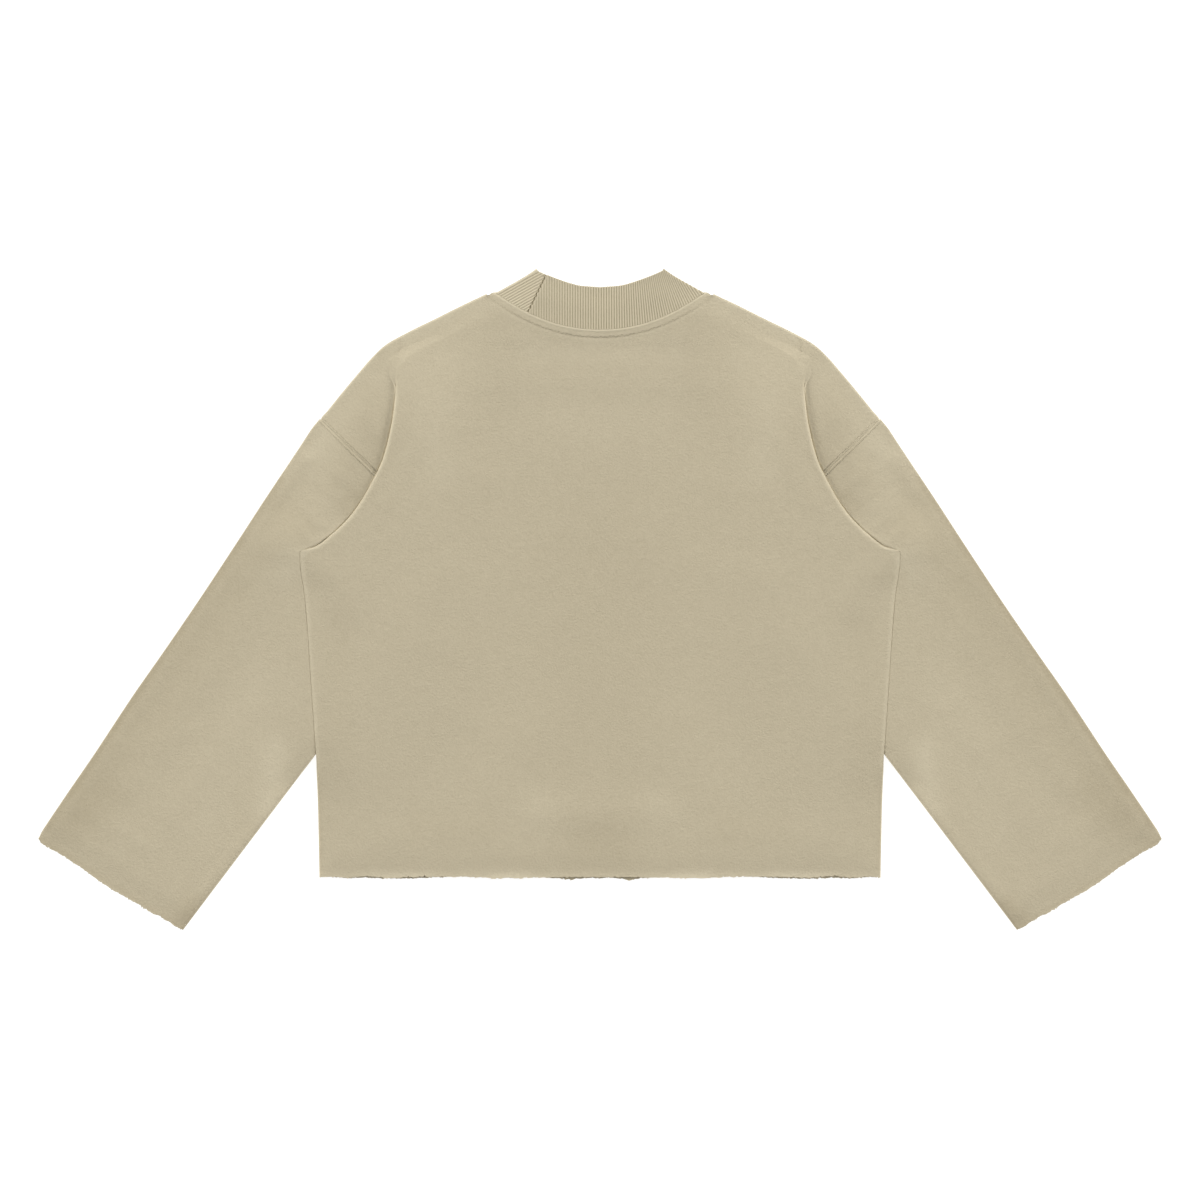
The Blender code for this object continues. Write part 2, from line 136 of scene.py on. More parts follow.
SHOULDER = [
    Section(240.0, 204.0, 56, 158, 196.0, 238.5, 10, 13.2, 10, 229.2, 241.0, 0.0, 1),
    Section(252.0, 210.0, 52, 142, 178.0, 251.0, 5, 16.3, 5, 214.5, 254.9, 0.0, 1),
    Section(257.5, 214.5, 50, 125, 154.0, 262.5, 3.0, 14.1, 3.0, 190.5, 268.5, 0.0, 1),
    Section(262.0, 218.5, 48, 108, 134.0, 275.5, 1.4, 10.2, 1.4, 165.0, 281.0, 0.0, 1),
    Section(266.5, 222.0, 46, 94, 115.5, 290.0, 0.3, 7.5, 0.3, 139.2, 293.9, 0.0, 1),
    Section(BACK_NECK, FRONT_NECK, 45, 84, *NECK_SIDE, 0, 3, 0, 113.5, 306.0, 0.0, 1),
]
BODY = SIDE + PLEAT + SHOULDER
ON_SLEEVE = SIDE[3:]  # the side's sections that lie on a sleeve
# Where a section passes the sleeve's hidden flap it sinks again: row -> (from x, by so many layers)
SINK = {
    -240.0: (215, 0.35), -205.0: (215, 1.0), -162.0: (232, 0.6), -115.0: (243, 1.0),
    -65.0: (212, 1.65), -36.0: (205, 2.0), 5.0: (246, 2.0), 33.0: (280, 0.9),
}
BODY_EDGE = [(s.fold_x, s.fold_y) for s in SIDE + PLEAT]  # what shows of it from above
print(len(BODY), "sections")

# %% [markdown]
# ## How fine the cloth is
# A panel is one grid of quads. Its columns follow the sections, closer together where the cloth turns
# over, and its rows are read from smooth curves through the sections, closer together at the hem and
# below the neck. The curves are cubic and never overshoot, so no layer pushes through its neighbour.

# %% Columns and rows of a panel
Columns = namedtuple("Columns", "foot crest fold turn run leg lip")
PANEL = Columns(foot=37, crest=31, fold=26, turn=6, run=3, leg=24, lip=4)
HEM_ROWS = (0.0, 1.2, 2.0, 3.1, 4.6, 6.8, 9.6, 13.5, 18.5, 25.0, 31.0)
SIDE_STEP = 7.3
PLEAT_STEP = 2.9
NECK_STEP = 1.5
TURN_STEP = 0.35  # columns never come closer in a faint turn
LEG_EASE = 1.7  # draws the columns together towards the armhole seam
print(sum(PANEL), "columns from the centre line to the edge")


def smooth_step(value):
    """0 below 0, 1 above 1, and an easy curve between."""
    t = np.clip(value, 0.0, 1.0)
    return t * t * (3 - 2 * t)


def hump(value, centre, width):
    """1 at the centre, and falling softly to 0 on both sides."""
    return np.exp(-(((value - centre) / width) ** 2))


def through(rows, at, wanted):
    """Rows at the wanted places, on smooth curves through the given ones that never overshoot."""
    gaps = np.diff(at)[:, None, None]
    slopes = np.diff(rows, axis=0) / gaps
    before, after = slopes[:-1], slopes[1:]
    same_way = before * after > 0
    first, second = 2 * gaps[1:] + gaps[:-1], gaps[1:] + 2 * gaps[:-1]
    safe_before = np.where(same_way, before, 1.0)
    safe_after = np.where(same_way, after, 1.0)
    harmonic = (first + second) / (first / safe_before + second / safe_after)
    tangents = np.concatenate([slopes[:1], np.where(same_way, harmonic, 0.0), slopes[-1:]])
    place = np.clip(np.searchsorted(at, wanted, side="right") - 1, 0, len(at) - 2)
    width = gaps[place]
    s = (wanted - at[place])[:, None, None] / width
    return (
        (1 + 2 * s) * (1 - s) ** 2 * rows[place]
        + s * (1 - s) ** 2 * width * tangents[place]
        + s * s * (3 - 2 * s) * rows[place + 1]
        + s * s * (s - 1) * width * tangents[place + 1]
    )


def curve_value(table, x):
    """A smooth curve through a small table of (place, value)."""
    at, values = np.array(table, float).T
    found = through(values[:, None, None], at, np.clip(np.ravel(x), at[0], at[-1]))
    return found.reshape(np.shape(x))


# %% [markdown]
# ## Creases and puff
# Thick fleece laid on a table doesn't wrinkle much. It keeps a little air under its upper layers, bulges
# beside its folded edges, and has a few long soft ridges. Each ridge is a row of a table, from one end to
# the other, and all layers at a place rise by the same field, the lowest ones least, so that they never
# cross. The field is above zero everywhere, which keeps the underside on the table.

# %% Table of ridges and the height field
Ridge = namedtuple("Ridge", "x0 y0 x1 y1 width height half")  # half: 0 both, 1 right, -1 left
RIDGES = [
    Ridge(296, 140, 542, -224, 9, 1.6, 0),  # beside the sleeve's outer fold
    Ridge(318, -196, 412, -312, 9, 1.7, 0),  # beside its inner fold
    Ridge(330, 20, 470, -190, 15, 0.8, 0),  # along the sleeve
    Ridge(352, -110, 425, -215, 17, 0.7, 0),
    Ridge(455, -245, 520, -205, 13, 0.6, 0),  # above the cuff
    Ridge(300, 95, 352, 25, 14, 0.7, 0),
    Ridge(252, 118, 262, 128, 5, 0.45, 0),  # ripples into the armhole seam
    Ridge(238, 142, 249, 156, 5, 0.4, 0),
    Ridge(224, 168, 236, 186, 6, 0.35, 0),
    Ridge(-62, -214, 62, -214, 17, 1.1, 0),  # above the hem
    Ridge(118, -232, 216, -238, 15, 0.7, 0),
    Ridge(60, -120, 105, -190, 26, 0.5, 0),
    Ridge(150, -60, 196, -150, 30, 0.5, 0),
    Ridge(40, 60, 96, 10, 34, 0.5, 0),
    Ridge(120, 120, 160, 210, 26, 0.6, 0),  # up to the shoulder
    Ridge(-86, 246, 86, 246, 12, -0.4, 0),  # below the neck band
    Ridge(212, 96, 180, 158, 10, 0.5, 0),  # beside the pleat
    Ridge(-40, 120, 20, 150, 30, 0.4, 0),
    Ridge(-150, -110, -70, -140, 20, 0.45, -1),
    Ridge(90, 40, 170, 20, 18, 0.4, 1),
    Ridge(-210, -20, -150, 30, 16, 0.4, -1),
    Ridge(380, -150, 440, -120, 12, 0.4, 1),
    Ridge(-480, -150, -400, -130, 12, 0.4, -1),
]
PUFF = 1.5  # air under the upper layers, away from the outline
PUFF_EASE = 26.0
RIPPLE = 0.05  # the faint unevenness of cloth that has been folded away
RIPPLES = [(0.031, 0.012, 0.3), (-0.017, 0.034, 1.9), (0.058, 0.041, 4.0), (0.045, -0.062, 2.2)]
LOWEST_SHARE = 0.15  # of the field that the bottom layer takes
print(len(RIDGES), "ridges")


def along_segment(x, y, x0, y0, x1, y1):
    """Distance from points to a straight stretch."""
    dx, dy = x1 - x0, y1 - y0
    share = np.clip(((x - x0) * dx + (y - y0) * dy) / (dx * dx + dy * dy), 0.0, 1.0)
    return np.hypot(x - x0 - share * dx, y - y0 - share * dy)


def from_outline(x, y):
    """Distance from points to the garment's outline."""
    found = np.full(np.shape(x), 1000.0)
    for (x0, y0), (x1, y1) in zip(OUTLINE, OUTLINE[1:]):
        found = np.minimum(found, along_segment(np.abs(x), y, x0, y0, x1, y1))
    return found


def field(ridges, x, y):
    """The sum of soft ridges at points of the garment."""
    total = np.zeros(np.shape(x))
    for ridge in ridges:
        across = np.abs(x) if ridge.half == 0 else x
        away = along_segment(across, y, ridge.x0, ridge.y0, ridge.x1, ridge.y1)
        total += ridge.height * hump(away, 0, ridge.width)
    return total


def raised(points):
    """Points of the cloth, lifted by the puff and the ridges. Lower layers are lifted less."""
    x, y, z = points[..., 0], points[..., 1], points[..., 2]
    ripple = sum(np.sin(a * x + b * y + c) for a, b, c in RIPPLES)
    air = (PUFF + RIPPLE * ripple) * smooth_step(from_outline(x, y) / PUFF_EASE)
    height = np.maximum(air + field(RIDGES, x, y), 0.0)
    level = smooth_step((z - FLEECE / 2) / PITCH)
    lifted = points.copy()
    lifted[..., 2] = z + height * (LOWEST_SHARE + (1 - LOWEST_SHARE) * level)
    return lifted


# %% [markdown]
# ## Raw edges
# The hem and the cuffs are cut and left raw. A cut knit edge is never straight: it waves, has small nicks
# where the blade stepped, and curls up a little. The front's hem shows below the back's here and there.

# %% Tables of the raw edges
HEM_BACK = [
    (0, -277.0), (8, -276.9), (29.5, -277.0), (42, -277.2), (65, -277.4), (83, -278.2), (92, -277.4),
    (101, -278.2), (115, -277.5), (138, -276.6), (175, -276.6), (190, -276.9), (210, -277.7),
    (234, -276.0), (251, -277.6), (260, -277.2), (272, -276.5), (280.5, -277.2),
]
HEM_FRONT = [
    (0, -278.3), (8, -277.7), (22, -278.6), (26.5, -279.3), (29.5, -280.6), (33, -279.3), (42, -278.3),
    (65, -277.0), (83, -277.5), (115, -277.0), (138, -276.2), (175, -277.8), (190, -278.4),
    (210, -278.6), (234, -277.7), (251, -278.3), (260, -277.5), (272, -276.9), (280.5, -277.0),
]
HEM_REACH = 24.0  # how far up the cloth the waves of its edge are felt
HEM_CURL = [(0, 0.3), (30, 0.3), (60, 0.4), (100, 0.7), (125, 0.3), (180, 0.5), (212, 0.4), (281, 0.2)]
CURL_REACH = 7.0
NICKS = [(2.1, 0.16, 0.4), (1.27, 0.14, 2.0), (0.83, 0.12, 5.1), (0.41, 0.1, 1.2)]  # per mm, size, phase
CUFF_WAVE = [
    (0, 0.0), (4, 2.3), (12, 3.2), (21, 2.0), (36, 1.9), (50, 2.1), (69, 3.4), (88, 4.0), (100, 3.5),
    (117, 2.6), (120, 2.2), (124, 2.9), (138, 2.5), (142, 0.9), (150, 1.5), (153.5, 0.6), (161, 1.3),
    (167, 0.7), (170.3, 0.0),
]
CUFF_CURL = 0.25
OUTER_BULGE = [
    (0.0, 0.8), (0.02, 2.0), (0.1, 1.9), (0.2, 1.4), (0.33, 1.9), (0.45, 0.8), (0.57, 0.3), (0.7, 0.8),
    (0.81, 1.6), (0.93, 1.8), (0.974, 2.1), (1.0, 0.8),
]

# %% [markdown]
# ## Finishes
# Two finishes cover the garment, and a third is the sewing thread. Colours are given as sRGB hex values
# and turned to linear by one function. One small function adds a node with its settings and links.

# %% Colour and node helpers
def linear(hex_value):
    """An sRGB hex colour as linear red, green, blue and alpha."""
    parts = [int(hex_value[i : i + 2], 16) / 255 for i in (1, 3, 5)]
    return (*(c / 12.92 if c <= 0.04045 else ((c + 0.055) / 1.055) ** 2.4 for c in parts), 1.0)


def add(tree, kind, inputs=(), **settings):
    """Adds a node: settings are its own, and inputs are values or the sockets that feed it."""
    node = tree.nodes.new(kind)
    for name, value in settings.items():
        setattr(node, name, value)
    for key, value in dict(inputs).items():
        if isinstance(value, bpy.types.NodeSocket):
            tree.links.new(value, node.inputs[key])
        else:
            node.inputs[key].default_value = value
    return node


def new_finish(name, roughness, sheen):
    """A material with its shader, and the shader's constant values on its own sockets."""
    material = bpy.data.materials.new(name)
    material.use_nodes = True
    tree = material.node_tree
    tree.nodes.clear()
    shader = add(tree, "ShaderNodeBsdfPrincipled", {
        "Roughness": roughness, "Specular IOR Level": 0.25, "Sheen Weight": sheen,
        "Sheen Roughness": 0.6,
    })
    add(tree, "ShaderNodeOutputMaterial", {"Surface": shader.outputs["BSDF"]})
    return material, tree, shader


# %% [markdown]
# ### Brushed loopback cotton
# The body and sleeves are heavy sweatshirt cloth: a plain knitted face with wales about a millimetre
# apart, washed until its nap stands up a little. That gives the eye a dry, matte surface with a soft
# grain and hardly any shine, only a little sheen where it turns away. The grain of the real nap is finer
# than a pixel here, so it is drawn a little coarser, about 2 mm. One float attribute holds painted light
# and shade, which makes broad areas, rolled edges and the cloth beside the pleats lighter or darker. The
# `stitch` attribute holds, in millimetres, the place along and across the nearest line of sewing, so
# that the thread pulls a groove into the cloth, whose colour is also painted darker as shade.

# %% Fleece finish
FLEECE_LIGHT = "#d1c6ab"
FLEECE_DARK = "#b0a489"
GRAIN_MM = 2.2
FELTED_MM = 9.0  # broader clouds in the nap
MEAN_SHADE = 0.17
WALE_MM = 1.1
STITCH_MM = 4.2


def fleece_finish():
    """Brushed loopback cotton."""
    material, tree, shader = new_finish("brushed_loopback_cotton", 0.95, 0.12)
    place = add(tree, "ShaderNodeTexCoord").outputs["Object"]
    grain = add(tree, "ShaderNodeTexNoise", {
        "Vector": place, "Scale": 1 / (GRAIN_MM * MM), "Detail": 3.0, "Roughness": 0.62,
    })
    felted = add(tree, "ShaderNodeTexNoise", {
        "Vector": place, "Scale": 1 / (FELTED_MM * MM), "Detail": 2.0, "Roughness": 0.5,
    })
    cloth = add(tree, "ShaderNodeUVMap", uv_map="cloth").outputs["UV"]
    across = add(tree, "ShaderNodeSeparateXYZ", {"Vector": cloth}).outputs["X"]
    phase = add(tree, "ShaderNodeMath", {0: across, 1: 2 * math.pi / (WALE_MM * MM)}, operation="MULTIPLY")
    wale = add(tree, "ShaderNodeMath", {0: phase.outputs[0]}, operation="SINE")
    groove, hole = sewn_groove(tree)
    tone = add(tree, "ShaderNodeAttribute", attribute_name="tone").outputs["Fac"]

    shade = add(tree, "ShaderNodeMath", {
        0: grain.outputs["Fac"], 1: 0.5, 2: MEAN_SHADE,
    }, operation="MULTIPLY_ADD")
    shade = add(tree, "ShaderNodeMath", {
        0: felted.outputs["Fac"], 1: 0.15, 2: shade.outputs[0],
    }, operation="MULTIPLY_ADD")
    shade = add(tree, "ShaderNodeMath", {0: tone, 1: shade.outputs[0]}, operation="ADD")
    # painted shade: the colour is darker along the groove that a line of stitches pulls in
    shade = add(tree, "ShaderNodeMath", {
        0: groove, 1: -0.5, 2: shade.outputs[0],
    }, operation="MULTIPLY_ADD", use_clamp=True)
    colour = add(tree, "ShaderNodeMix", {
        0: shade.outputs[0], 6: linear(FLEECE_DARK), 7: linear(FLEECE_LIGHT),
    }, data_type="RGBA")
    tree.links.new(colour.outputs[2], shader.inputs["Base Color"])

    height = add(tree, "ShaderNodeMath", {0: grain.outputs["Fac"], 1: 0.5}, operation="MULTIPLY")
    depths = ((felted.outputs["Fac"], 0.25), (wale.outputs[0], 0.02), (groove, -0.6), (hole, -0.3))
    for part, depth in depths:
        height = add(tree, "ShaderNodeMath", {
            0: part, 1: depth, 2: height.outputs[0],
        }, operation="MULTIPLY_ADD")
    bump = add(tree, "ShaderNodeBump", {"Strength": 1.0, "Distance": MM, "Height": height.outputs[0]})
    tree.links.new(bump.outputs["Normal"], shader.inputs["Normal"])
    return material


def sewn_groove(tree):
    """The groove that a line of stitches pulls into the cloth, and the needle holes along it, 0 to 1."""
    sewn = add(tree, "ShaderNodeAttribute", attribute_name="stitch").outputs["Vector"]
    line = add(tree, "ShaderNodeSeparateXYZ", {"Vector": sewn})
    off = add(tree, "ShaderNodeMath", {0: line.outputs["Y"]}, operation="ABSOLUTE")
    groove = add(tree, "ShaderNodeMapRange", {
        "Value": off.outputs[0], "From Min": 0.1, "From Max": 0.7, "To Min": line.outputs["Z"],
        "To Max": 0.0,
    }, interpolation_type="SMOOTHSTEP")
    turn = add(tree, "ShaderNodeMath", {
        0: line.outputs["X"], 1: 2 * math.pi / STITCH_MM,
    }, operation="MULTIPLY")
    wave = add(tree, "ShaderNodeMath", {0: turn.outputs[0]}, operation="COSINE")
    hole = add(tree, "ShaderNodeMapRange", {
        "Value": wave.outputs[0], "From Min": 0.2, "From Max": 1.0, "To Min": 0.0, "To Max": 1.0,
    }, interpolation_type="SMOOTHSTEP")
    hole = add(tree, "ShaderNodeMath", {0: hole.outputs[0], 1: groove.outputs[0]}, operation="MULTIPLY")
    return groove.outputs[0], hole.outputs[0]


# %% [markdown]
# ### One by one rib
# The collar is rib: one knit wale, one purl wale, about 1.9 mm from rib to rib, so it is all narrow
# ridges. The ridges are real here. The finish only adds the knit loops along each rib, the fine fuzz and
# painted shade in the furrows, which a vertex attribute gives, along with painted light on the ribs and
# painted lines at the join and the right side fold.

# %% Rib finish
RIB_LIGHT = "#cfc4a9"
RIB_DARK = "#a3977b"
LOOP_MM = 1.3
FUZZ_MM = 1.6


def rib_finish():
    """Cotton rib, knit one, purl one."""
    material, tree, shader = new_finish("one_by_one_cotton_rib", 0.92, 0.1)
    place = add(tree, "ShaderNodeTexCoord").outputs["Object"]
    fuzz = add(tree, "ShaderNodeTexNoise", {
        "Vector": place, "Scale": 1 / (FUZZ_MM * MM), "Detail": 2.0, "Roughness": 0.6,
    })
    cloth = add(tree, "ShaderNodeUVMap", uv_map="cloth").outputs["UV"]
    up = add(tree, "ShaderNodeSeparateXYZ", {"Vector": cloth}).outputs["Y"]
    phase = add(tree, "ShaderNodeMath", {0: up, 1: 2 * math.pi / (LOOP_MM * MM)}, operation="MULTIPLY")
    loops = add(tree, "ShaderNodeMath", {0: phase.outputs[0]}, operation="SINE")
    tone = add(tree, "ShaderNodeAttribute", attribute_name="tone").outputs["Fac"]
    shade = add(tree, "ShaderNodeMath", {0: fuzz.outputs["Fac"], 1: 0.5, 2: tone}, operation="MULTIPLY_ADD")
    shade = add(tree, "ShaderNodeMath", {
        0: loops.outputs[0], 1: 0.02, 2: shade.outputs[0],
    }, operation="MULTIPLY_ADD", use_clamp=True)
    colour = add(tree, "ShaderNodeMix", {
        0: shade.outputs[0], 6: linear(RIB_DARK), 7: linear(RIB_LIGHT),
    }, data_type="RGBA")
    tree.links.new(colour.outputs[2], shader.inputs["Base Color"])
    height = add(tree, "ShaderNodeMath", {0: fuzz.outputs["Fac"], 1: 0.12}, operation="MULTIPLY")
    height = add(tree, "ShaderNodeMath", {
        0: loops.outputs[0], 1: 0.012, 2: height.outputs[0],
    }, operation="MULTIPLY_ADD")
    bump = add(tree, "ShaderNodeBump", {"Strength": 1.0, "Distance": MM, "Height": height.outputs[0]})
    tree.links.new(bump.outputs["Normal"], shader.inputs["Normal"])
    return material


# %% [markdown]
# ### Sewing thread
# The seams are sewn with spun polyester in the cloth's own colour. It is smoother than the nap, so a
# stitch catches a little more light. Its twist, about half a millimetre, is too fine to show here, so
# the bump is drawn far coarser, as a slow unevenness along each line of stitches.

# %% Thread finish
THREAD_COLOUR = "#c3b89c"
UNEVEN_SCALE = 100.0  # the waves of the texture are then about 6 mm apart


def thread_finish():
    """Spun polyester thread."""
    material, tree, shader = new_finish("spun_polyester_thread", 0.6, 0.05)
    place = add(tree, "ShaderNodeTexCoord").outputs["Object"]
    uneven = add(tree, "ShaderNodeTexWave", {
        "Vector": place, "Scale": UNEVEN_SCALE, "Distortion": 1.0,
    }, bands_direction="DIAGONAL")
    shader.inputs["Base Color"].default_value = linear(THREAD_COLOUR)
    bump = add(tree, "ShaderNodeBump", {
        "Strength": 0.6, "Distance": 0.08 * MM, "Height": uneven.outputs["Fac"],
    })
    tree.links.new(bump.outputs["Normal"], shader.inputs["Normal"])
    return material


FLEECE_FINISH = fleece_finish()
RIB_FINISH = rib_finish()
THREAD_FINISH = thread_finish()
print("finishes:", [m.name for m in (FLEECE_FINISH, RIB_FINISH, THREAD_FINISH)])

# %% [markdown]
# ## From points to cloth
# Blender's own grid is the cloth before it is laid: each of its vertices is moved to its place, columns
# that fall together are merged, and the normals are put right. Solidify gives the wall its thickness, and
# is applied so that only the cut edges stay sharp. The grid also carries painted light and shade, the
# place of the sewing, and a UV map in metres that follows the flat cloth.

# %% Painted light and shade
# Each row is a patch of painted light, above 0, or of painted shade, below 0.
PaintedPatch = Ridge  # the same table form, with a share of the colour range in place of a height
PAINTED_PATCHES = [
    PaintedPatch(330, 60, 520, -215, 26, -0.14, 0),  # painted shade along the sleeve's outer side
    PaintedPatch(500, -196, 548, -236, 26, -0.14, 0),
    PaintedPatch(330, -80, 395, -225, 26, 0.07, 0),  # and painted light along its inner side
    PaintedPatch(418, -318, 406, -306, 12, -0.28, 0),
    PaintedPatch(0, -240, 16, -244, 22, -0.11, 0),
    PaintedPatch(60, -205, 62, -218, 20, 0.1, 0),
    PaintedPatch(150, 245, 215, 228, 24, 0.08, 0),  # painted light on the shoulders
    PaintedPatch(236, 214, 290, 140, 18, 0.1, 0),
    PaintedPatch(262, -20, 266, -220, 16, -0.05, 0),
    PaintedPatch(-70, 252, 70, 252, 16, 0.1, 0),
    PaintedPatch(0, 40, 0, -200, 90, -0.08, 0),
    PaintedPatch(218, 158, 236, 108, 9, -0.12, 0),  # painted shade beside the pleat
    PaintedPatch(303, 42, 312, 24, 10, 0.15, 0),  # painted light on the swell below the underarm
    PaintedPatch(318, 42, 330, 26, 18, 0.12, 0),
    PaintedPatch(298, 72, 318, 92, 18, -0.12, 0),
    PaintedPatch(190, 262, 150, 281, 10, 0.12, 0),  # painted light along the shoulder
    PaintedPatch(130, 288, 115, 296, 12, 0.12, 0),
    PaintedPatch(165, 195, 160, 130, 22, 0.12, 0),
    PaintedPatch(246, 104, 256, 92, 7, -0.18, 0),
    PaintedPatch(275, 165, 285, 150, 10, 0.12, 0),
    PaintedPatch(359, 60, 527, -190, 7, -0.16, 0),  # painted shade on the sleeve's outer fold, seen edge on
    PaintedPatch(323, -150, 331, -205, 15, 0.24, 0),
    PaintedPatch(75, -277, 105, -277, 7, 0.22, 0),  # painted light along the hem
    PaintedPatch(175, -277, 225, -277, 6, 0.18, 0),
    PaintedPatch(125, -226, 180, -226, 18, -0.08, 0),
    PaintedPatch(-50, 190, 50, 190, 45, 0.06, 0),
    PaintedPatch(320, 120, 552, -226, 4.5, -0.27, 0),  # painted shade on the sleeve's outer fold,
    PaintedPatch(283, -162, 416.5, -329.5, 2.6, -0.34, 0),  # on its inner one,
    PaintedPatch(560.5, -238.5, 416.5, -329.5, 3, -0.2, 0),  # at the cuff
    PaintedPatch(281, -268, 283, -170, 4.5, -0.14, 0),  # and on the body's free side,
    PaintedPatch(-280, -275, 280, -275, 4, 0.1, 0),  # but painted light along the hem
    PaintedPatch(279.5, 180.5, 229, 240.8, 5, 0.18, 0),  # and along the shoulder's edge
    PaintedPatch(214.5, 254.5, 120, 302.7, 5, 0.18, 0),
]
MERGE = 0.00002
SHARP_ANGLE = 58.0
NOT_SEWN = (0.0, 20.0, 0.0)  # far from any line of sewing
# The count printed below is of these patches of painted light and shade.
print(len(PAINTED_PATCHES), "places where the nap lies another way")
FRAY = 1.1
FRAY_CUTS = 2
FRAY_SEED = 11


def shell(name, points, finish, thickness=0.0, stitch=None, tone=None, cloth=None, raw_way=None):
    """A piece of cloth through points[row, column], in millimetres, as an object in metres."""
    rows, columns = points.shape[:2]
    if tone is None:
        tone = field(PAINTED_PATCHES, points[..., 0], points[..., 1])
    if cloth is None:
        across = np.hypot(np.diff(points[..., 0]), np.diff(points[..., 1]))
        across = np.concatenate([np.zeros((rows, 1)), np.cumsum(across, axis=1)], axis=1)
        cloth = np.stack([across, np.broadcast_to(points[:, :1, 1], across.shape)], axis=-1)
    form = bmesh.new()
    uv = form.loops.layers.uv.new("cloth")
    painted_layer = form.verts.layers.float.new("tone")
    sewn = form.verts.layers.float_vector.new("stitch")
    raw = form.verts.layers.int.new("raw")
    bmesh.ops.create_grid(form, x_segments=columns - 1, y_segments=rows - 1, size=0.5)
    index = {}
    for vert in form.verts:
        column = round((vert.co.x + 0.5) * (columns - 1))
        row = round((vert.co.y + 0.5) * (rows - 1))
        index[vert] = (row, column)
    for face in form.faces:
        for loop in face.loops:
            loop[uv].uv = cloth[index[loop.vert]] * MM
    for vert, place in index.items():
        vert.co = points[place] * MM
        vert[painted_layer] = tone[place]
        vert[raw] = place[0] == 0
        vert[sewn] = stitch[place] if stitch is not None else NOT_SEWN
    bmesh.ops.remove_doubles(form, verts=form.verts, dist=MERGE)
    bmesh.ops.dissolve_degenerate(form, edges=form.edges, dist=MERGE)
    if raw_way is not None:
        fray(form, [e for e in form.edges if e.is_boundary and all(v[raw] for v in e.verts)], raw_way)
    form.verts.layers.int.remove(raw)
    bmesh.ops.recalc_face_normals(form, faces=form.faces)
    mesh = bpy.data.meshes.new(name)
    form.to_mesh(mesh)
    form.free()
    return finished(name, mesh, finish, thickness)


def fray(form, cut, way):
    """Small teeth along a raw edge, where single loops of the knit stand out or are lost."""
    on_edge = {vert for edge in cut for vert in edge.verts}
    made = bmesh.ops.subdivide_edges(form, edges=cut, cuts=FRAY_CUTS)["geom_inner"]
    on_edge.update(part for part in made if isinstance(part, bmesh.types.BMVert))
    teeth = np.random.default_rng(FRAY_SEED)
    for vert in form.verts:
        if vert in on_edge:
            tooth = FRAY * MM * teeth.uniform(-1, 1) ** 3
            vert.co.x += way[0] * tooth
            vert.co.y += way[1] * tooth


def finished(name, mesh, finish, thickness=0.0):
    """An object of this mesh, with its wall applied, its finish, and its cut edges sharp."""
    mesh.materials.append(finish)
    piece = bpy.data.objects.new(name, mesh)
    bpy.context.scene.collection.objects.link(piece)
    if thickness:
        wall = piece.modifiers.new("Wall", "SOLIDIFY")
        wall.thickness = thickness * MM
        wall.offset = 0.0
        graph = bpy.context.evaluated_depsgraph_get()
        piece.data = bpy.data.meshes.new_from_object(piece.evaluated_get(graph))
        piece.modifiers.clear()
        piece.data.name = name
    piece.data.shade_smooth()
    piece.data.set_sharp_from_angle(angle=math.radians(SHARP_ANGLE))
    piece.data.calc_loop_triangles()
    print(name, len(piece.data.loop_triangles), "triangles")
    return piece


# %% [markdown]
# ## Lines of sewing
# Two lines of sewing show on the back. A coverstitch runs 8 mm below the neck seam and holds its
# allowance down, so the band between them stands a little proud. A twin needle runs along both sides of
# the armhole seam. A vertex near one of them is given its place along and across that line.

# %% Places of the sewing
NECK_STITCH = 8.0
ARM_STITCH = 2.45
NECK_TIGHT = [(0, 0.8), (30, 0.7), (50, 0.5), (80, 0.3), (98, 0.12), (106, 0.0), (120, 0.0)]
ARM_TIGHT = [(0, 0.25), (30, 0.35), (55, 0.6), (80, 1.1), (120, 1.2)]
ARM_TOP = 4.2  # the sewn layers lie below this height
STITCH_WANDER = 0.8  # a coverstitch zigzags
FAR = 15.0  # past this the cloth doesn't feel the sewing
Area = namedtuple("Area", "inner outer low high")  # places across, on both halves, and heights
ANY = 1000.0
ARM_SEWING = Area(185, ANY, 90, 190)
ARM_WAY = np.array([SEAM_TUCK[0] - SHOULDER_TIP[0], SEAM_TUCK[1] - SHOULDER_TIP[1]])
ARM_WAY = ARM_WAY / np.hypot(*ARM_WAY)


def in_area(area, x, y):
    """Which points lie in an area, on either half."""
    across = np.abs(x)
    return (across > area.inner) & (across < area.outer) & (y > area.low) & (y < area.high)


def neck_line(x):
    """Height of the back's neck seam at a place across."""
    return BACK_NECK + (NECK_SIDE[1] - BACK_NECK) * (np.abs(x) / NECK_SIDE[0]) ** NECK_POWER


def neck_slope(x):
    """How steeply the back's neck seam climbs, outwards, at a place across."""
    slope = (NECK_SIDE[1] - BACK_NECK) * NECK_POWER / NECK_SIDE[0]
    return slope * (np.abs(x) / NECK_SIDE[0]) ** (NECK_POWER - 1)


def below_neck(x, y):
    """Distance below the back's neck seam, and the place along it."""
    lean = np.sqrt(1 + neck_slope(x) ** 2)
    return (neck_line(x) - y) / lean, x * (1 + lean) / 2


def from_armhole(x, y):
    """Distance from the armhole seam, above 0 on the body's side, and the place along it."""
    dx, dy = np.abs(x) - SHOULDER_TIP[0], y - SHOULDER_TIP[1]
    return dx * ARM_WAY[1] - dy * ARM_WAY[0], dx * ARM_WAY[0] + dy * ARM_WAY[1]


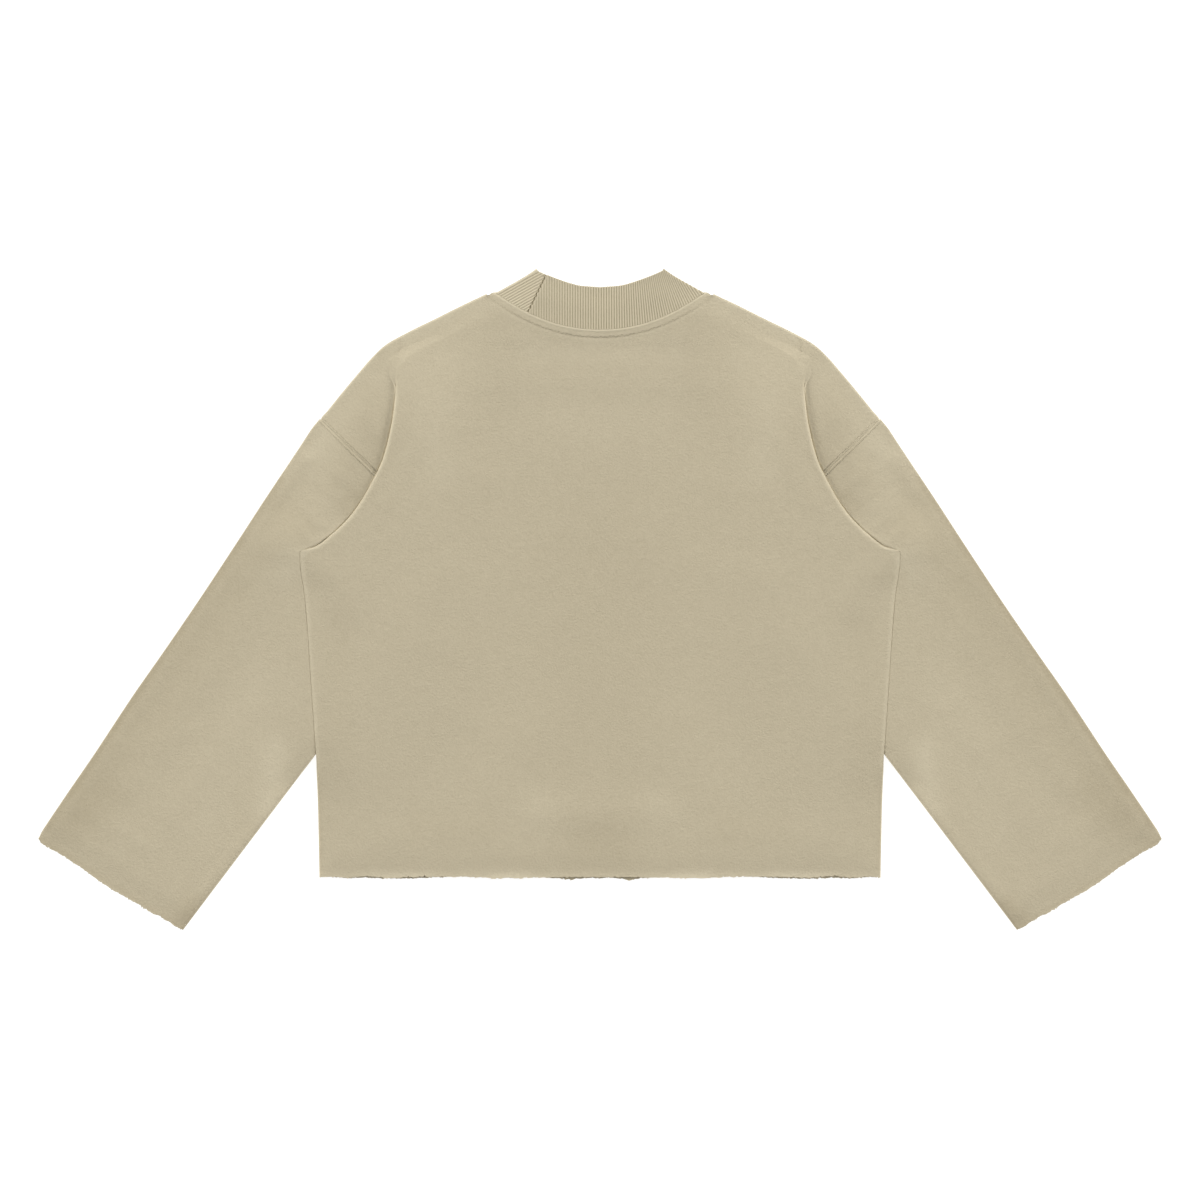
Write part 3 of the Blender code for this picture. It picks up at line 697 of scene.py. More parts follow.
def sewing(points, on_body):
    """For each point: its place along the nearest line of sewing, across it, and how tight that is."""
    x, y, z = points[..., 0], points[..., 1], points[..., 2]
    off_arm, along = from_armhole(x, y)
    near = (z < ARM_TOP) & in_area(ARM_SEWING, x, y)
    off = np.minimum((off_arm if on_body else -off_arm) - ARM_STITCH, FAR)
    off = np.where(near, off, FAR)
    tight = curve_value(ARM_TIGHT, along)
    if on_body:
        below, neck_along = below_neck(x, y)
        nearer = np.abs(below - NECK_STITCH) < np.abs(off)
        wander = STITCH_WANDER * np.sin(2 * np.pi * neck_along / STITCH_MM)
        wander += 0.5 * STITCH_WANDER * np.sin(neck_along / 1.7 + 1.3)
        off = np.where(nearer, np.minimum(below - NECK_STITCH + wander, FAR), off)
        along = np.where(nearer, neck_along, along)
        tight = np.where(nearer, curve_value(NECK_TIGHT, np.abs(x)), tight)
    return np.stack([along, off, tight], axis=-1)


# %% [markdown]
# ## Front and back
# Both panels follow the same sections, the back above the space between them and the front below it.
# First come the columns of one section, then the rows between sections, and last the second half, which
# is the first one mirrored.

# %% One section of a panel
def outward_directions(points):
    """Unit vectors across a run of points, away from the centre line."""
    points = np.array(points, float)
    way = np.gradient(points, axis=0)
    way = np.stack([way[:, 1], -way[:, 0]], axis=-1)
    return way / np.linalg.norm(way, axis=1)[:, None]


def pleat_profile(section, side):
    """A pleat seen along its fold: (out, up) from where it starts, for the layer on this side."""
    stations = []
    out, up, heading = 0.0, 0.0, 0.0
    for turn in (-section.over, section.back):
        step = math.radians(turn) / PANEL.turn
        chord = max(2 * TURN * math.sin(abs(step) / 2), TURN_STEP)
        for _ in range(PANEL.turn):
            out += chord * math.cos(heading + step / 2)
            up += chord * math.sin(heading + step / 2)
            heading += step
            stations.append((out, up, heading))
        if len(stations) == PANEL.turn:
            for _ in range(PANEL.run):
                out += section.run / PANEL.run * math.cos(heading)
                up += section.run / PANEL.run * math.sin(heading)
                stations.append((out, up, heading))
    found = []
    for out, up, heading in stations:
        found.append((out - side * PAIR * math.sin(heading), up + side * PAIR * math.cos(heading)))
    return found


def section_points(section, direction, side, outward):
    """One panel's section, as points from the centre line outwards."""
    is_back = side > 0
    mid_y = section.back_y if is_back else section.front_y
    pleated = section.over > 0
    angle = math.radians(section.over)
    lift = section.lift * PITCH or -pleat_profile(section, 0)[-1][1]  # or just as high as its pleat
    if section is BODY[-1]:
        mid_y -= GAP / 2
    has_leg = section.edge_x > 0 and section.edge_x != section.fold_x
    trim = SEAM_GAP / 2
    on_sleeve = section in ON_SLEEVE
    bend_most = math.radians(SIDE_BEND if on_sleeve else 90)
    if section.lip:
        trim = (FLEECE / 2 + LIP_RADIUS) * math.sin(bend_most) if is_back else LIP_COVER
    if section is SIDE[-1] and not is_back:
        trim = CORNER_COVER
    inset = 0.0 if has_leg else trim
    if pleated:
        inset = FLEECE / 2 + (TURN + PAIR) * math.sin(min(angle, math.pi / 2))
    start_x, start_y = section.fold_x - direction[0] * inset, section.fold_y - direction[1] * inset

    across = np.concatenate([
        np.linspace(0, section.foot, PANEL.foot + 1),
        np.linspace(section.foot, section.crest, PANEL.crest + 1)[1:],
        np.linspace(section.crest, start_x, PANEL.fold + 1)[1:],
    ])
    height = mid_y + (start_y - mid_y) * (across / start_x) ** NECK_POWER
    rise = lift * smooth_step((across - section.foot) / (section.crest - section.foot))
    sink_from, sink = SINK.get(section.fold_y, (0, 0.0)) if section in SIDE else (0, 0.0)
    rise -= sink * PITCH * smooth_step((across - sink_from) / (start_x - sink_from))
    points = list(zip(across, height, FLOOR_SPACE + rise + side * PAIR))

    level = FLOOR_SPACE + lift - sink * PITCH
    if pleated:
        for out, up in pleat_profile(section, side):
            points.append((start_x + direction[0] * out, start_y + direction[1] * out, level + up))
    else:
        run = section.run if has_leg else 0.0
        for out in np.linspace(0, run, 2 * PANEL.turn + PANEL.run + 1)[1:]:
            points.append((start_x + out, start_y, level + side * PAIR))

    last = np.array(points[-1])
    end = last
    if has_leg:
        floor = FLOOR_SPACE + side * PAIR
        end = np.array((section.edge_x - outward[0] * trim, section.edge_y - outward[1] * trim, floor))
    for i in range(1, PANEL.leg + 1):
        share = 1 - (1 - i / PANEL.leg) ** LEG_EASE
        reach = last + (end - last) * share
        reach[2] = last[2] + (end[2] - last[2]) * smooth_step(share)
        points.append(tuple(reach))
    for i in range(1, PANEL.lip + 1):
        out, down = 0.0, 0.0
        if section.lip and is_back:
            bend = bend_most * min(i / (PANEL.lip - 1), 1)
            out = LIP_RADIUS * math.sin(bend)
            down = LIP_RADIUS * (1 - math.cos(bend))
            if i == PANEL.lip and not on_sleeve:
                down += LIP_DROP
        points.append((end[0] + outward[0] * out, end[1] + outward[1] * out, end[2] - down))
    return points


# %% All rows of a panel
def rows_wanted(at):
    """Places of a panel's rows, between and on its sections."""
    wanted = [*HEM_ROWS]
    for i, (low, high) in enumerate(zip(at, at[1:])):
        if i == 0:
            wanted.append(high)
            continue
        step = SIDE_STEP if i < len(SIDE) - 1 else PLEAT_STEP
        if i == len(at) - 2:
            step = NECK_STEP
        wanted += list(np.linspace(low, high, math.ceil((high - low) / step) + 1)[1:])
    return np.array(wanted)


def panel_points(side):
    """A whole panel, as points[row, column], before its creases."""
    folds = outward_directions([(s.fold_x, s.fold_y) for s in PLEAT])
    edges = {}
    for lip in (0, 1):
        ended = [s for s in PLEAT + SHOULDER if s.edge_x and s.lip == lip]
        edges.update(zip(ended, outward_directions([(s.edge_x, s.edge_y) for s in ended])))
    rows = [section_points(s, (1.0, 0.0), side, (1.0, 0.0)) for s in SIDE]
    for i, section in enumerate(PLEAT + SHOULDER):
        direction = folds[i] if i < len(PLEAT) else (1.0, 0.0)
        rows.append(section_points(section, direction, side, edges.get(section, (1.0, 0.0))))
    rows = np.array(rows)
    steps = [math.hypot(b.fold_x - a.fold_x, b.fold_y - a.fold_y) for a, b in zip(BODY, BODY[1:])]
    at = np.concatenate([[0.0], np.cumsum(steps)])
    wanted = rows_wanted(at)
    half = through(rows, at, wanted)
    last = PANEL.foot + PANEL.crest + PANEL.fold
    below = wanted <= at[len(SIDE) - 1]
    lips = rows[: len(SIDE), -PANEL.lip :] - rows[: len(SIDE), last : last + 1]
    half[below, last + 1 :] = half[below, last : last + 1]
    half[below, -PANEL.lip :] += through(lips, at[: len(SIDE)], wanted[below])
    if side > 0:
        leg = slice(-PANEL.lip - PANEL.leg - 1, -PANEL.lip)
        for row in np.flatnonzero(~below):
            half[row, leg] = drawn_together(half[row, leg])
    other = half[:, :0:-1] * (-1, 1, 1)
    return np.concatenate([other, half], axis=1)


def beside_body(x, y):
    """Signed distance outside the body's visible edge, and the height on the edge's nearest point."""
    found, nearest_y = np.full(np.shape(x), 1000.0), np.zeros(np.shape(x))
    inside = np.zeros(np.shape(x), bool)
    for (x0, y0), (x1, y1) in zip(BODY_EDGE, BODY_EDGE[1:]):
        away = along_segment(x, y, x0, y0, x1, y1)
        nearer = away < found - 1e-6
        found = np.where(nearer, away, found)
        nearest_y = np.where(nearer, np.clip(y, min(y0, y1), max(y0, y1)), nearest_y)
        inside = np.where(nearer, (x - x0) * (y1 - y0) - (y - y0) * (x1 - x0) < 0, inside)
    return np.where(inside, -found, found), nearest_y


CROWD = 6.0  # so much closer do the points come at the edge
CROWD_WIDTH = 5.0


def drawn_together(line):
    """A line of points whose spacing is closer where it passes under the body's edge."""
    even = np.linspace(0, 1, len(line))
    fine = np.linspace(0, 1, 16 * len(line))
    path = np.stack([np.interp(fine, even, axis) for axis in line.T], axis=-1)
    out, _ = beside_body(path[:, 0], path[:, 1])
    crowd = np.cumsum(1 + CROWD * hump(out, 0, CROWD_WIDTH))
    crowd = (crowd - crowd[0]) / (crowd[-1] - crowd[0])
    at = np.interp(even, crowd, fine)
    return np.stack([np.interp(at, fine, axis) for axis in path.T], axis=-1)


def nicks(along):
    """The small unevenness of a cut edge."""
    return sum(size * np.sin(often * along + phase) for often, size, phase in NICKS)


def hemmed(points, hem, slack):
    """The rows near the hem, moved to its waves and curled up at the cut."""
    x, y = np.abs(points[..., 0]), points[..., 1]
    up = y - y[:1]
    wave = (curve_value(hem, x) - y[:1]) * (1 - smooth_step(up / HEM_REACH))
    curl = curve_value(HEM_CURL, x) * np.clip(1 - up / CURL_REACH, 0, 1) ** 2 * slack
    moved = points.copy()
    moved[..., 1] += wave
    moved[0, :, 1] += nicks(points[0, :, 0] + 40 * slack)
    moved[..., 2] += curl
    return moved


# %% [markdown]
# Where cloth passes under the body's edge, it swells up beside it: at once beside the side seam, where
# the sleeve lies, and as a slow valley beside the pleat. Beside the pleat its colour also gets painted
# light and shade. Both the sleeves and the back's own shoulder parts are shaped by these two functions.

# %% Beside the body's edge
EDGE_STEP = 0.2  # the sleeve ends this much lower than the body's side edge
# How far the cloth stands up beside the edge, and in the valley, at heights of the edge
EDGE_RISE = [
    (s.fold_y, max((s.lift - SINK.get(s.fold_y, (0, 0.0))[1]) * PITCH - EDGE_STEP, 0.0)) for s in SIDE
]
EDGE_RISE += [(56, 6.6), (68, 5.2), (84, 3.9), (104, 3.2), (150, 3.2), (185, 2.8), (205, 1.8), (240, 0)]
VALLEY_RISE = [(56, 0), (72, 0.8), (92, 1.7), (115, 2.2), (180, 2.2), (205, 1.8), (228, 0.8), (245, 0)]
PLEAT_FROM = 44.0  # height at which the side seam gives way to the pleat
PLEAT_EASE = 8.0
LIP_BANK = (2.1, 3.0)  # beside the side seam, how far under the edge the swell starts, and how wide it is
PLEAT_BANK = (1.0, 1.15)  # and beside the pleat, whose turn leaves less room under it
HIGH_BANK = (3.2, 0.25)  # a bank by the pleat that is higher than this is wider, by this share of the rest
BANK_FADE = (6.0, 50.0)  # it sinks again from here out, over this width
VALLEY = (30.0, 70.0)  # the valley deepens over the first of these, and ends over the second
# a band of painted light or shade beside the pleat: where it starts and ends along the edge, how softly,
# how far out, how wide, how much
PaintedBand = namedtuple("PaintedBand", "low low_ease high high_ease out width tone")
PAINTED_VALLEY_SHADING = [
    PaintedBand(85, 25, 212, 20, 0, 6, 0.2),  # painted light beside the pleat
    PaintedBand(85, 25, 212, 20, 28, 16, -0.12),  # painted shade farther out
    PaintedBand(46, 10, 205, 20, 0, 2.2, 0.25),  # brightest painted light where it comes out
]


def swell(x, y):
    """How far the cloth that passes under the body's edge swells up beside it."""
    out, edge_y = beside_body(np.abs(x), y)
    rise = curve_value(EDGE_RISE, edge_y)
    pleated = smooth_step((edge_y - PLEAT_FROM) / PLEAT_EASE)
    start, width = (lip + (pleat - lip) * pleated for lip, pleat in zip(LIP_BANK, PLEAT_BANK))
    width = width + pleated * HIGH_BANK[1] * np.maximum(rise - HIGH_BANK[0], 0)
    bank = rise * smooth_step((out + start) / width)
    bank *= 1 - smooth_step((out - BANK_FADE[0]) / BANK_FADE[1])
    valley = smooth_step(out / VALLEY[0]) * (1 - smooth_step((out - VALLEY[0]) / VALLEY[1]))
    valley *= curve_value(VALLEY_RISE, edge_y)
    return bank + valley * smooth_step(from_outline(x, y) / (2 * PUFF_EASE))


def painted_valley_shading(x, y):
    """Painted light and shade on the cloth that passes under a pleat."""
    out, edge_y = beside_body(np.abs(x), y)
    tone = np.zeros(np.shape(x))
    for nap in PAINTED_VALLEY_SHADING:
        beside = smooth_step((edge_y - nap.low) / nap.low_ease)
        beside *= 1 - smooth_step((edge_y - nap.high) / nap.high_ease)
        tone += nap.tone * beside * hump(out, nap.out, nap.width)
    return tone


# %% [markdown]
# The back is also shaped by its sewing: the neck band stands proud with a ridge along the seam, and the
# cloth dips at each seam. A row of these tables is a soft line along a seam, so far off it. Painted light
# is also laid on the neck seam's ridge, on the band below it and on the rolled edges.

# %% Reliefs and painted light of the back
Line = namedtuple("Line", "off width height")
NECK_RELIEF = [Line(1.6, 1.1, 0.3), Line(0, 0.8, -0.45)]
ARM_RELIEF = [Line(1.3, 0.8, 0.21), Line(0, 0.6, -0.3)]
# painted light on the ridge along the neck seam, and in a soft line below the coverstitch
PAINTED_NECK_LIGHT = [Line(1.3, 0.8, 0.5), Line(NECK_STITCH + 2.2, 1.2, 0.15)]
NECK_BAND = 0.35  # how far the band between seam and coverstitch stands proud
BAND_STEP = (1.2, 2.4)  # it starts to sink this far above the coverstitch, over this width
PAINTED_BAND_LIGHT = (5.0, 4.0, 0.1)  # how far down the band has painted light, how softly that ends, and by how much
BAND_END_DROP = 1.35  # beside the collar the back's edge comes down to the front
BAND_END = (99.0, 4.0, 2.2)  # from here out, over this width, and this far down
PAINTED_RIM_LIGHT = 0.32  # painted highlight on the rolled edge, by its place across, its height and where it ends
RIM_LINE = (-1.9, 1.5)
RIM_HEIGHT = (4.6, 0.8)
RIM_END = (196.0, 22.0)
NECK_AREA = Area(-1, 116, 240, ANY)
# where the neck's painted light lies
NECK_PAINTED = Area(-1, 106, 240, ANY)
ARM_SEAM = Area(190, ANY, 90, 185)
ARM_SEAM_TOP = 4.0
ARM_SEAM_REACH = 12.0
UNDER_PLEAT = Area(195, ANY, 40, ANY)
NECK_LIFT_UP = (190.0, 218.0)  # the back's rise over the front of the collar starts and is whole
NECK_LIFT_ACROSS = (106.0, 156.0)  # and starts to fall and is gone this far across


def along_seam(lines, off):
    """The sum of soft lines that run along a seam."""
    return sum(line.height * hump(off, line.off, line.width) for line in lines)


def is_leg(points):
    """Which points of the back's shoulder part pass under the pleat."""
    x, y, z = points[..., 0], points[..., 1], points[..., 2]
    return (z > FLOOR_SPACE) & (z < ARM_TOP) & in_area(UNDER_PLEAT, x, y)


def back_relief(points):
    """Heights that the neck band, the armhole seam and the pleat's valley add to the back."""
    x, y, z = points[..., 0], points[..., 1], points[..., 2]
    below, _ = below_neck(x, y)
    band = NECK_BAND * (1 - smooth_step((below - NECK_STITCH + BAND_STEP[0]) / BAND_STEP[1]))
    band += along_seam(NECK_RELIEF, below)
    inside = np.minimum(below, np.maximum(NECK_SIDE[1] - y, 0))
    at_end = smooth_step((np.abs(x) - BAND_END[0]) / BAND_END[1]) * (1 - smooth_step(inside / BAND_END[2]))
    band -= BAND_END_DROP * at_end
    off, _ = from_armhole(x, y)
    at_seam = (z < ARM_SEAM_TOP) & in_area(ARM_SEAM, x, y) & (off < ARM_SEAM_REACH)
    relief = np.where(in_area(NECK_AREA, x, y), band, 0.0)
    relief += np.where(at_seam, along_seam(ARM_RELIEF, off), 0.0)
    return relief + np.where(is_leg(points), swell(x, y), 0.0)


def neck_share(points):
    """1 where the back lies over the front of the collar, falling to 0 around it."""
    x, y = np.abs(points[..., 0]), points[..., 1]
    (low, high), (near, far) = NECK_LIFT_UP, NECK_LIFT_ACROSS
    return smooth_step((y - low) / (high - low)) * (1 - smooth_step((x - near) / (far - near)))


def painted_back_shading(points):
    """The back's painted light and shade: light on the rolled edges, along the neck's sewing and its band,
    and beside the pleat.
    """
    x, y, z = points[..., 0], points[..., 1], points[..., 2]
    tone = field(PAINTED_PATCHES, x, y)
    out, edge_y = beside_body(np.abs(x), y)
    rim = hump(out, *RIM_LINE) * smooth_step((z - RIM_HEIGHT[0]) / RIM_HEIGHT[1])
    tone += PAINTED_RIM_LIGHT * rim * (1 - smooth_step((edge_y - RIM_END[0]) / RIM_END[1]))
    below, _ = below_neck(x, y)
    sewn = along_seam(PAINTED_NECK_LIGHT, below)
    sewn += PAINTED_BAND_LIGHT[2] * (1 - smooth_step((below - PAINTED_BAND_LIGHT[0]) / PAINTED_BAND_LIGHT[1]))
    tone += np.where(in_area(NECK_PAINTED, x, y), sewn, 0.0)
    return tone + np.where(is_leg(points), painted_valley_shading(x, y), 0.0)


# %% The back and the front
def build_back():
    """The back panel, above the front."""
    points = hemmed(panel_points(1), HEM_BACK, 1.0)
    stitch = sewing(points, True)
    tone = painted_back_shading(points)
    points[..., 2] += NECK_LIFT * neck_share(points)
    points[..., 2] += back_relief(points)
    return shell("back_panel", raised(points), FLEECE_FINISH, FLEECE, stitch, tone, raw_way=(0, -1))


def build_front():
    """The front panel, which the back covers but for its hem."""
    points = hemmed(panel_points(-1), HEM_FRONT, 0.3)
    return shell("front_panel", raised(points), FLEECE_FINISH, FLEECE, raw_way=(0, -1))


back = build_back()
front = build_front()

# %% [markdown]
# ## Sleeves
# A sleeve is a tube that lies flat. Its back and front walls meet in round folds at its two long edges.
# Near the underarm the inner part folds over on itself and lies, hidden, under the body. A ring of the
# tube is one row of the grid: back wall from the outer edge in, flap, then the front wall out again.

# %% Rings of a sleeve
Ring = namedtuple("Ring", "outer inner tuck flap turn")
SLEEVE = [
    Ring(0.00, 0.00, 0.00, 0.00, 0),
    Ring(0.13, 0.16, 0.00, 0.00, 0),
    Ring(0.31, 0.37, 0.00, 0.00, 0),
    Ring(0.49, 0.60, 0.00, 0.00, 0),
    Ring(0.66, 0.82, 0.00, 0.00, 0),
    Ring(0.79, 1.00, 0.00, 0.00, 0),
    Ring(0.81, 1.00, 0.07, 0.015, 90),
    Ring(0.84, 1.00, 0.16, 0.12, 180),
    Ring(0.92, 1.00, 0.55, 0.52, 180),
    Ring(1.00, 1.00, 1.00, 1.00, 180),
]
Tube = namedtuple("Tube", "wall turn flap end")
TUBE = Tube(wall=76, turn=5, flap=5, end=6)
SLEEVE_STEP = 4.0
CUFF_ROWS = (0.0, 1.2, 2.0, 3.1, 4.6, 6.8, 9.6, 13.5, 18.5, 25.0)
ARMHOLE_ROWS = (14.0, 9.0, 6.0, 4.4, 3.4, 2.6, 1.9, 1.3, 0.8, 0.4, 0.0)
print(len(SLEEVE), "rings to a sleeve")


def between(start, end, share):
    """The point at a share of the way from one point to another."""
    return tuple(a + (b - a) * share for a, b in zip(start, end))


def unit(start, end):
    """The direction from one point to another, seen from above."""
    length = math.hypot(end[0] - start[0], end[1] - start[1])
    return ((end[0] - start[0]) / length, (end[1] - start[1]) / length)


def arc(centre, direction, radius, start, end, steps):
    """Points round a turn that stands on a direction, angles in degrees from it, up."""
    found = []
    for angle in np.radians(np.linspace(start, end, steps + 1)):
        out = radius * math.cos(angle)
        found.append((
            centre[0] + direction[0] * out,
            centre[1] + direction[1] * out,
            centre[2] + radius * math.sin(angle),
        ))
    return found


def sleeve_ring(ring):
    """A closed ring of the right sleeve."""
    seam_side = (-ARM_WAY[1], ARM_WAY[0])
    armhole_outer = tuple(a + SEAM_GAP / 2 * b for a, b in zip(SHOULDER_TIP, seam_side))
    seam_tuck = tuple(a + SEAM_GAP / 2 * b for a, b in zip(SEAM_TUCK, seam_side))
    armhole_tuck = (seam_tuck[0] + TUCK_CLEAR[0], seam_tuck[1] + TUCK_CLEAR[1])
    outer = between(CUFF_OUTER, armhole_outer, ring.outer)
    inner = between(CUFF_INNER, SLEEVE_TUCK, ring.inner)
    tuck = between(SLEEVE_TUCK, armhole_tuck, ring.tuck) if ring.turn else inner
    flap = between(SLEEVE_TUCK, SEAM_END, ring.flap) if ring.turn else inner
    aim = between(tuck, seam_tuck, ring.tuck**4)
    inwards = unit(outer, aim)
    edge = FLEECE / 2 + PAIR
    outer = (outer[0] + inwards[0] * edge, outer[1] + inwards[1] * edge)
    if not ring.turn:
        tuck = (tuck[0] - inwards[0] * edge, tuck[1] - inwards[1] * edge)
        aim = tuck
    walls = {}
    for side in (1, -1):
        level = FLOOR_SPACE + side * PAIR
        wall = [(*between(outer, aim, i / TUBE.wall), level) for i in range(TUBE.wall)]
        wall.append((*tuck, level))
        centre = (*tuck, FLOOR_SPACE + TURN)
        if ring.turn:
            radius = TURN - side * PAIR
            wall += arc(centre, (-1.0, 0.0), radius, -90, ring.turn - 90, TUBE.turn)[1:]
        else:
            wall += [wall[-1]] * TUBE.turn
        top = wall[-1]
        for i in range(1, TUBE.flap + 1):
            share = i / TUBE.flap
            wall.append((*between(top[:2], flap, share), top[2]) if ring.turn == 180 else top)
        walls[side] = wall
    back_wall, front_wall = walls[1], walls[-1]
    middle = between(back_wall[-1], front_wall[-1], 0.5)
    if ring.turn == 180:
        end = arc(middle, unit(tuck, flap), PAIR, -90, 90, TUBE.end)
    elif ring.turn:
        end = []
        for angle in np.radians(np.linspace(0, 180, TUBE.end + 1)):
            up = PAIR * math.sin(angle)
            end.append((middle[0] + PAIR * math.cos(angle), middle[1], middle[2] + up))
    else:
        end = arc(middle, inwards, PAIR, 90, -90, TUBE.end)
    outwards = (-inwards[0], -inwards[1])
    start = arc((*outer, FLOOR_SPACE), outwards, PAIR, -90, 90, TUBE.end)
    return back_wall + end[1:-1] + front_wall[::-1] + start[1:]


# %% [markdown]
# The rings are joined by the same smooth curves as the body. Then the outer edge gets its slight bulge,
# the cuff its waves, its teeth and its curl, and the seam its dip.

# %% The right sleeve's grid
SLEEVE_LONG = math.dist(CUFF_OUTER, SHOULDER_TIP)
CUFF_WAY = np.array(unit(CUFF_OUTER, CUFF_INNER))
CUFF_OUT = np.array((-CUFF_WAY[1], CUFF_WAY[0]))
EDGE_WAY = np.array(unit(CUFF_OUTER, SHOULDER_TIP))
BULGE_REACH = 60.0  # how far in from the outer fold its bulge is felt
LOWER_CUFF = (0.5, 9.0)  # the lower wall is cut a little shorter, in waves of this size and stretch
LOWER_CURL = 0.2  # and curls up only by this share


def sleeve_points():
    """The sleeve as points[row, place round the ring], flat and straight."""
    rings = np.array([sleeve_ring(ring) for ring in SLEEVE])
    at = np.array([ring.outer for ring in SLEEVE]) * SLEEVE_LONG
    middle_rows = np.arange(CUFF_ROWS[-1] + SLEEVE_STEP, SLEEVE_LONG - ARMHOLE_ROWS[0], SLEEVE_STEP)
    wanted = np.concatenate([CUFF_ROWS, middle_rows, SLEEVE_LONG - np.array(ARMHOLE_ROWS)])
    points = through(rings, at, wanted)
    for row in points:
        row[: TUBE.wall + 1] = drawn_together(row[: TUBE.wall + 1])
    points[:, -1] = points[:, 0]
    return points


# %% Both sleeves
def build_sleeve(name, half):
    """One sleeve: half is 1 for the right and -1 for the left."""
    points = sleeve_points()
    x, y, z = points[..., 0], points[..., 1], points[..., 2]  # views: they follow each move below
    lower = z < FLOOR_SPACE
    dx, dy = x - CUFF_OUTER[0], y - CUFF_OUTER[1]
    along = dx * CUFF_WAY[0] + dy * CUFF_WAY[1]
    up = -(dx * CUFF_OUT[0] + dy * CUFF_OUT[1])
    size, stretch = LOWER_CUFF
    wave = curve_value(CUFF_WAVE, along) - np.where(lower, size + size * np.sin(along / stretch), 0.0)
    wave = wave * (1 - smooth_step(up / HEM_REACH))
    beside = np.abs(dx * EDGE_WAY[1] - dy * EDGE_WAY[0])
    share = np.clip((dx * EDGE_WAY[0] + dy * EDGE_WAY[1]) / SLEEVE_LONG, 0, 1)
    bulge = curve_value(OUTER_BULGE, share) * (1 - smooth_step(beside / BULGE_REACH))
    points[..., 0] += wave * CUFF_OUT[0] + bulge * EDGE_WAY[1]
    points[..., 1] += wave * CUFF_OUT[1] - bulge * EDGE_WAY[0]

    stitch = sewing(points, False)
    stitch[..., 1] = np.where(lower, FAR, stitch[..., 1])
    tone = field(PAINTED_PATCHES, x, y) + np.where(lower, 0.0, painted_valley_shading(x, y))
    curl = np.where(lower, LOWER_CURL, 1.0) * CUFF_CURL
    points[..., 2] += curl * np.clip(1 - up / CURL_REACH, 0, 1) ** 2
    off, _ = from_armhole(x, y)
    relief = np.where(lower, 0.0, along_seam(ARM_RELIEF, -off))
    relief += np.where(z > FLOOR_SPACE, swell(x, y), 0.0)
    points[..., 2] += np.where(z < ARM_TOP, relief, 0.0)
    points[..., 0] *= half
    raw_way = (CUFF_OUT[0] * half, CUFF_OUT[1])
    return shell(name, raised(points), FLEECE_FINISH, FLEECE, stitch, tone, raw_way=raw_way)


sleeve_right = build_sleeve("right_sleeve", 1)
sleeve_left = build_sleeve("left_sleeve", -1)

# %% [markdown]
# ## Collar
# The collar is one strip of rib, folded in two along its top edge, joined end to end left of the centre
# and sewn into the neck. It lies flat, so it has a fold at each side. Its ribs are upright in the middle
# and lean along with the side folds at the ends, and left of the join they all lie parallel to the fold.
# The grid has seven columns to a rib on the back half, so the ridges are real. Each column goes up the
# outside, over the top edge and down the inside.

# %% Places on the collar
COLLAR_FOOT = (101.9, 305.8)
COLLAR_PEAK = (63.3, 327.3)
PEAK_RISE = 1.6  # the fold stands up in a small point at its top
BACK_TOP = [(0, 313), (20, 314.6), (30, 317), (40, 320.3), (50, 324), (57, 326.8), (63.3, 329.6)]
FRONT_TOP = 268.0
COLLAR_SAG = 1.2
COLLAR_FOLD_OUT = np.array((0.458, 0.889))
RIB_PITCH = 2.6  # the real ribs are 1.9 mm apart, too fine to show here
RIB_DEPTH = 0.5
STRIP_QUARTER = 77.0  # rest length of the strip from the centre to a side fold
LEAN = 39.0  # degrees that the ribs lean at the right side fold
LEAN_POWER = 2.5  # how late they start to lean
JOIN_FOOT = (-71.5, 290.5)
JOIN_TOP = (-54.5, 325.5)
SEWN_GAP = 0.05  # the collar meets the back's edge
FOOT_SLANT = 0.6  # how steeply the foot of a side fold slants down to the body's edge
LATE = 6  # power of what is felt only near the top or the foot of the side folds
PEAK_POWER = 12  # and only near the fold itself
FRONT_TOP_POWER = 1.8
BACK_START = -70.0  # the back half's grid starts here, and is cut at the join
FINE, COARSE = RIB_PITCH / 7, RIB_PITCH / 4  # columns of the back half and of the hidden front half
FOLD_STEPS = 12
FOLD_LENGTH = 4.0  # along the strip, round a side fold
END_COLUMNS = 100
JOIN_GAP = 0.15
JOIN_STEP = 4.2  # the join steps from rib to rib
JOIN_RUN = 0.26  # the part of each step that follows a rib
JOIN_REACH = 1.6
BACK_Z = DOUBLE_RIB * 1.5 + GAP
FRONT_Z = DOUBLE_RIB / 2
HALF_RIB = DOUBLE_RIB / 2
OUTSIDE_STATIONS = 38
INSIDE_STATIONS = 12


def collar_point(r, up, is_back):
    """A point on the middle of the collar: r is the place along the strip, from the centre."""
    side_x = COLLAR_FOOT[0] + (COLLAR_PEAK[0] - COLLAR_FOOT[0]) * up
    across = np.abs(r) / STRIP_QUARTER
    x = side_x * across
    seam = BACK_NECK if is_back else FRONT_NECK
    low = seam + SEWN_GAP - GAP / 2 + (COLLAR_FOOT[1] - seam) * across**NECK_POWER
    if is_back:
        high = curve_value(BACK_TOP, COLLAR_PEAK[0] * across) - HALF_RIB
        high -= (PEAK_RISE - 0.3) * across**PEAK_POWER
        z = BACK_Z - COLLAR_SAG * up * (1 - across**2)
    else:
        high = FRONT_TOP - HALF_RIB + (COLLAR_PEAK[1] - FRONT_TOP + HALF_RIB) * across**FRONT_TOP_POWER
        z = FRONT_Z + 0 * x
    y = low + (high - low) * up + PEAK_RISE * across**PEAK_POWER * up**LATE
    return np.stack(np.broadcast_arrays(x * np.sign(r), y, z), axis=-1)


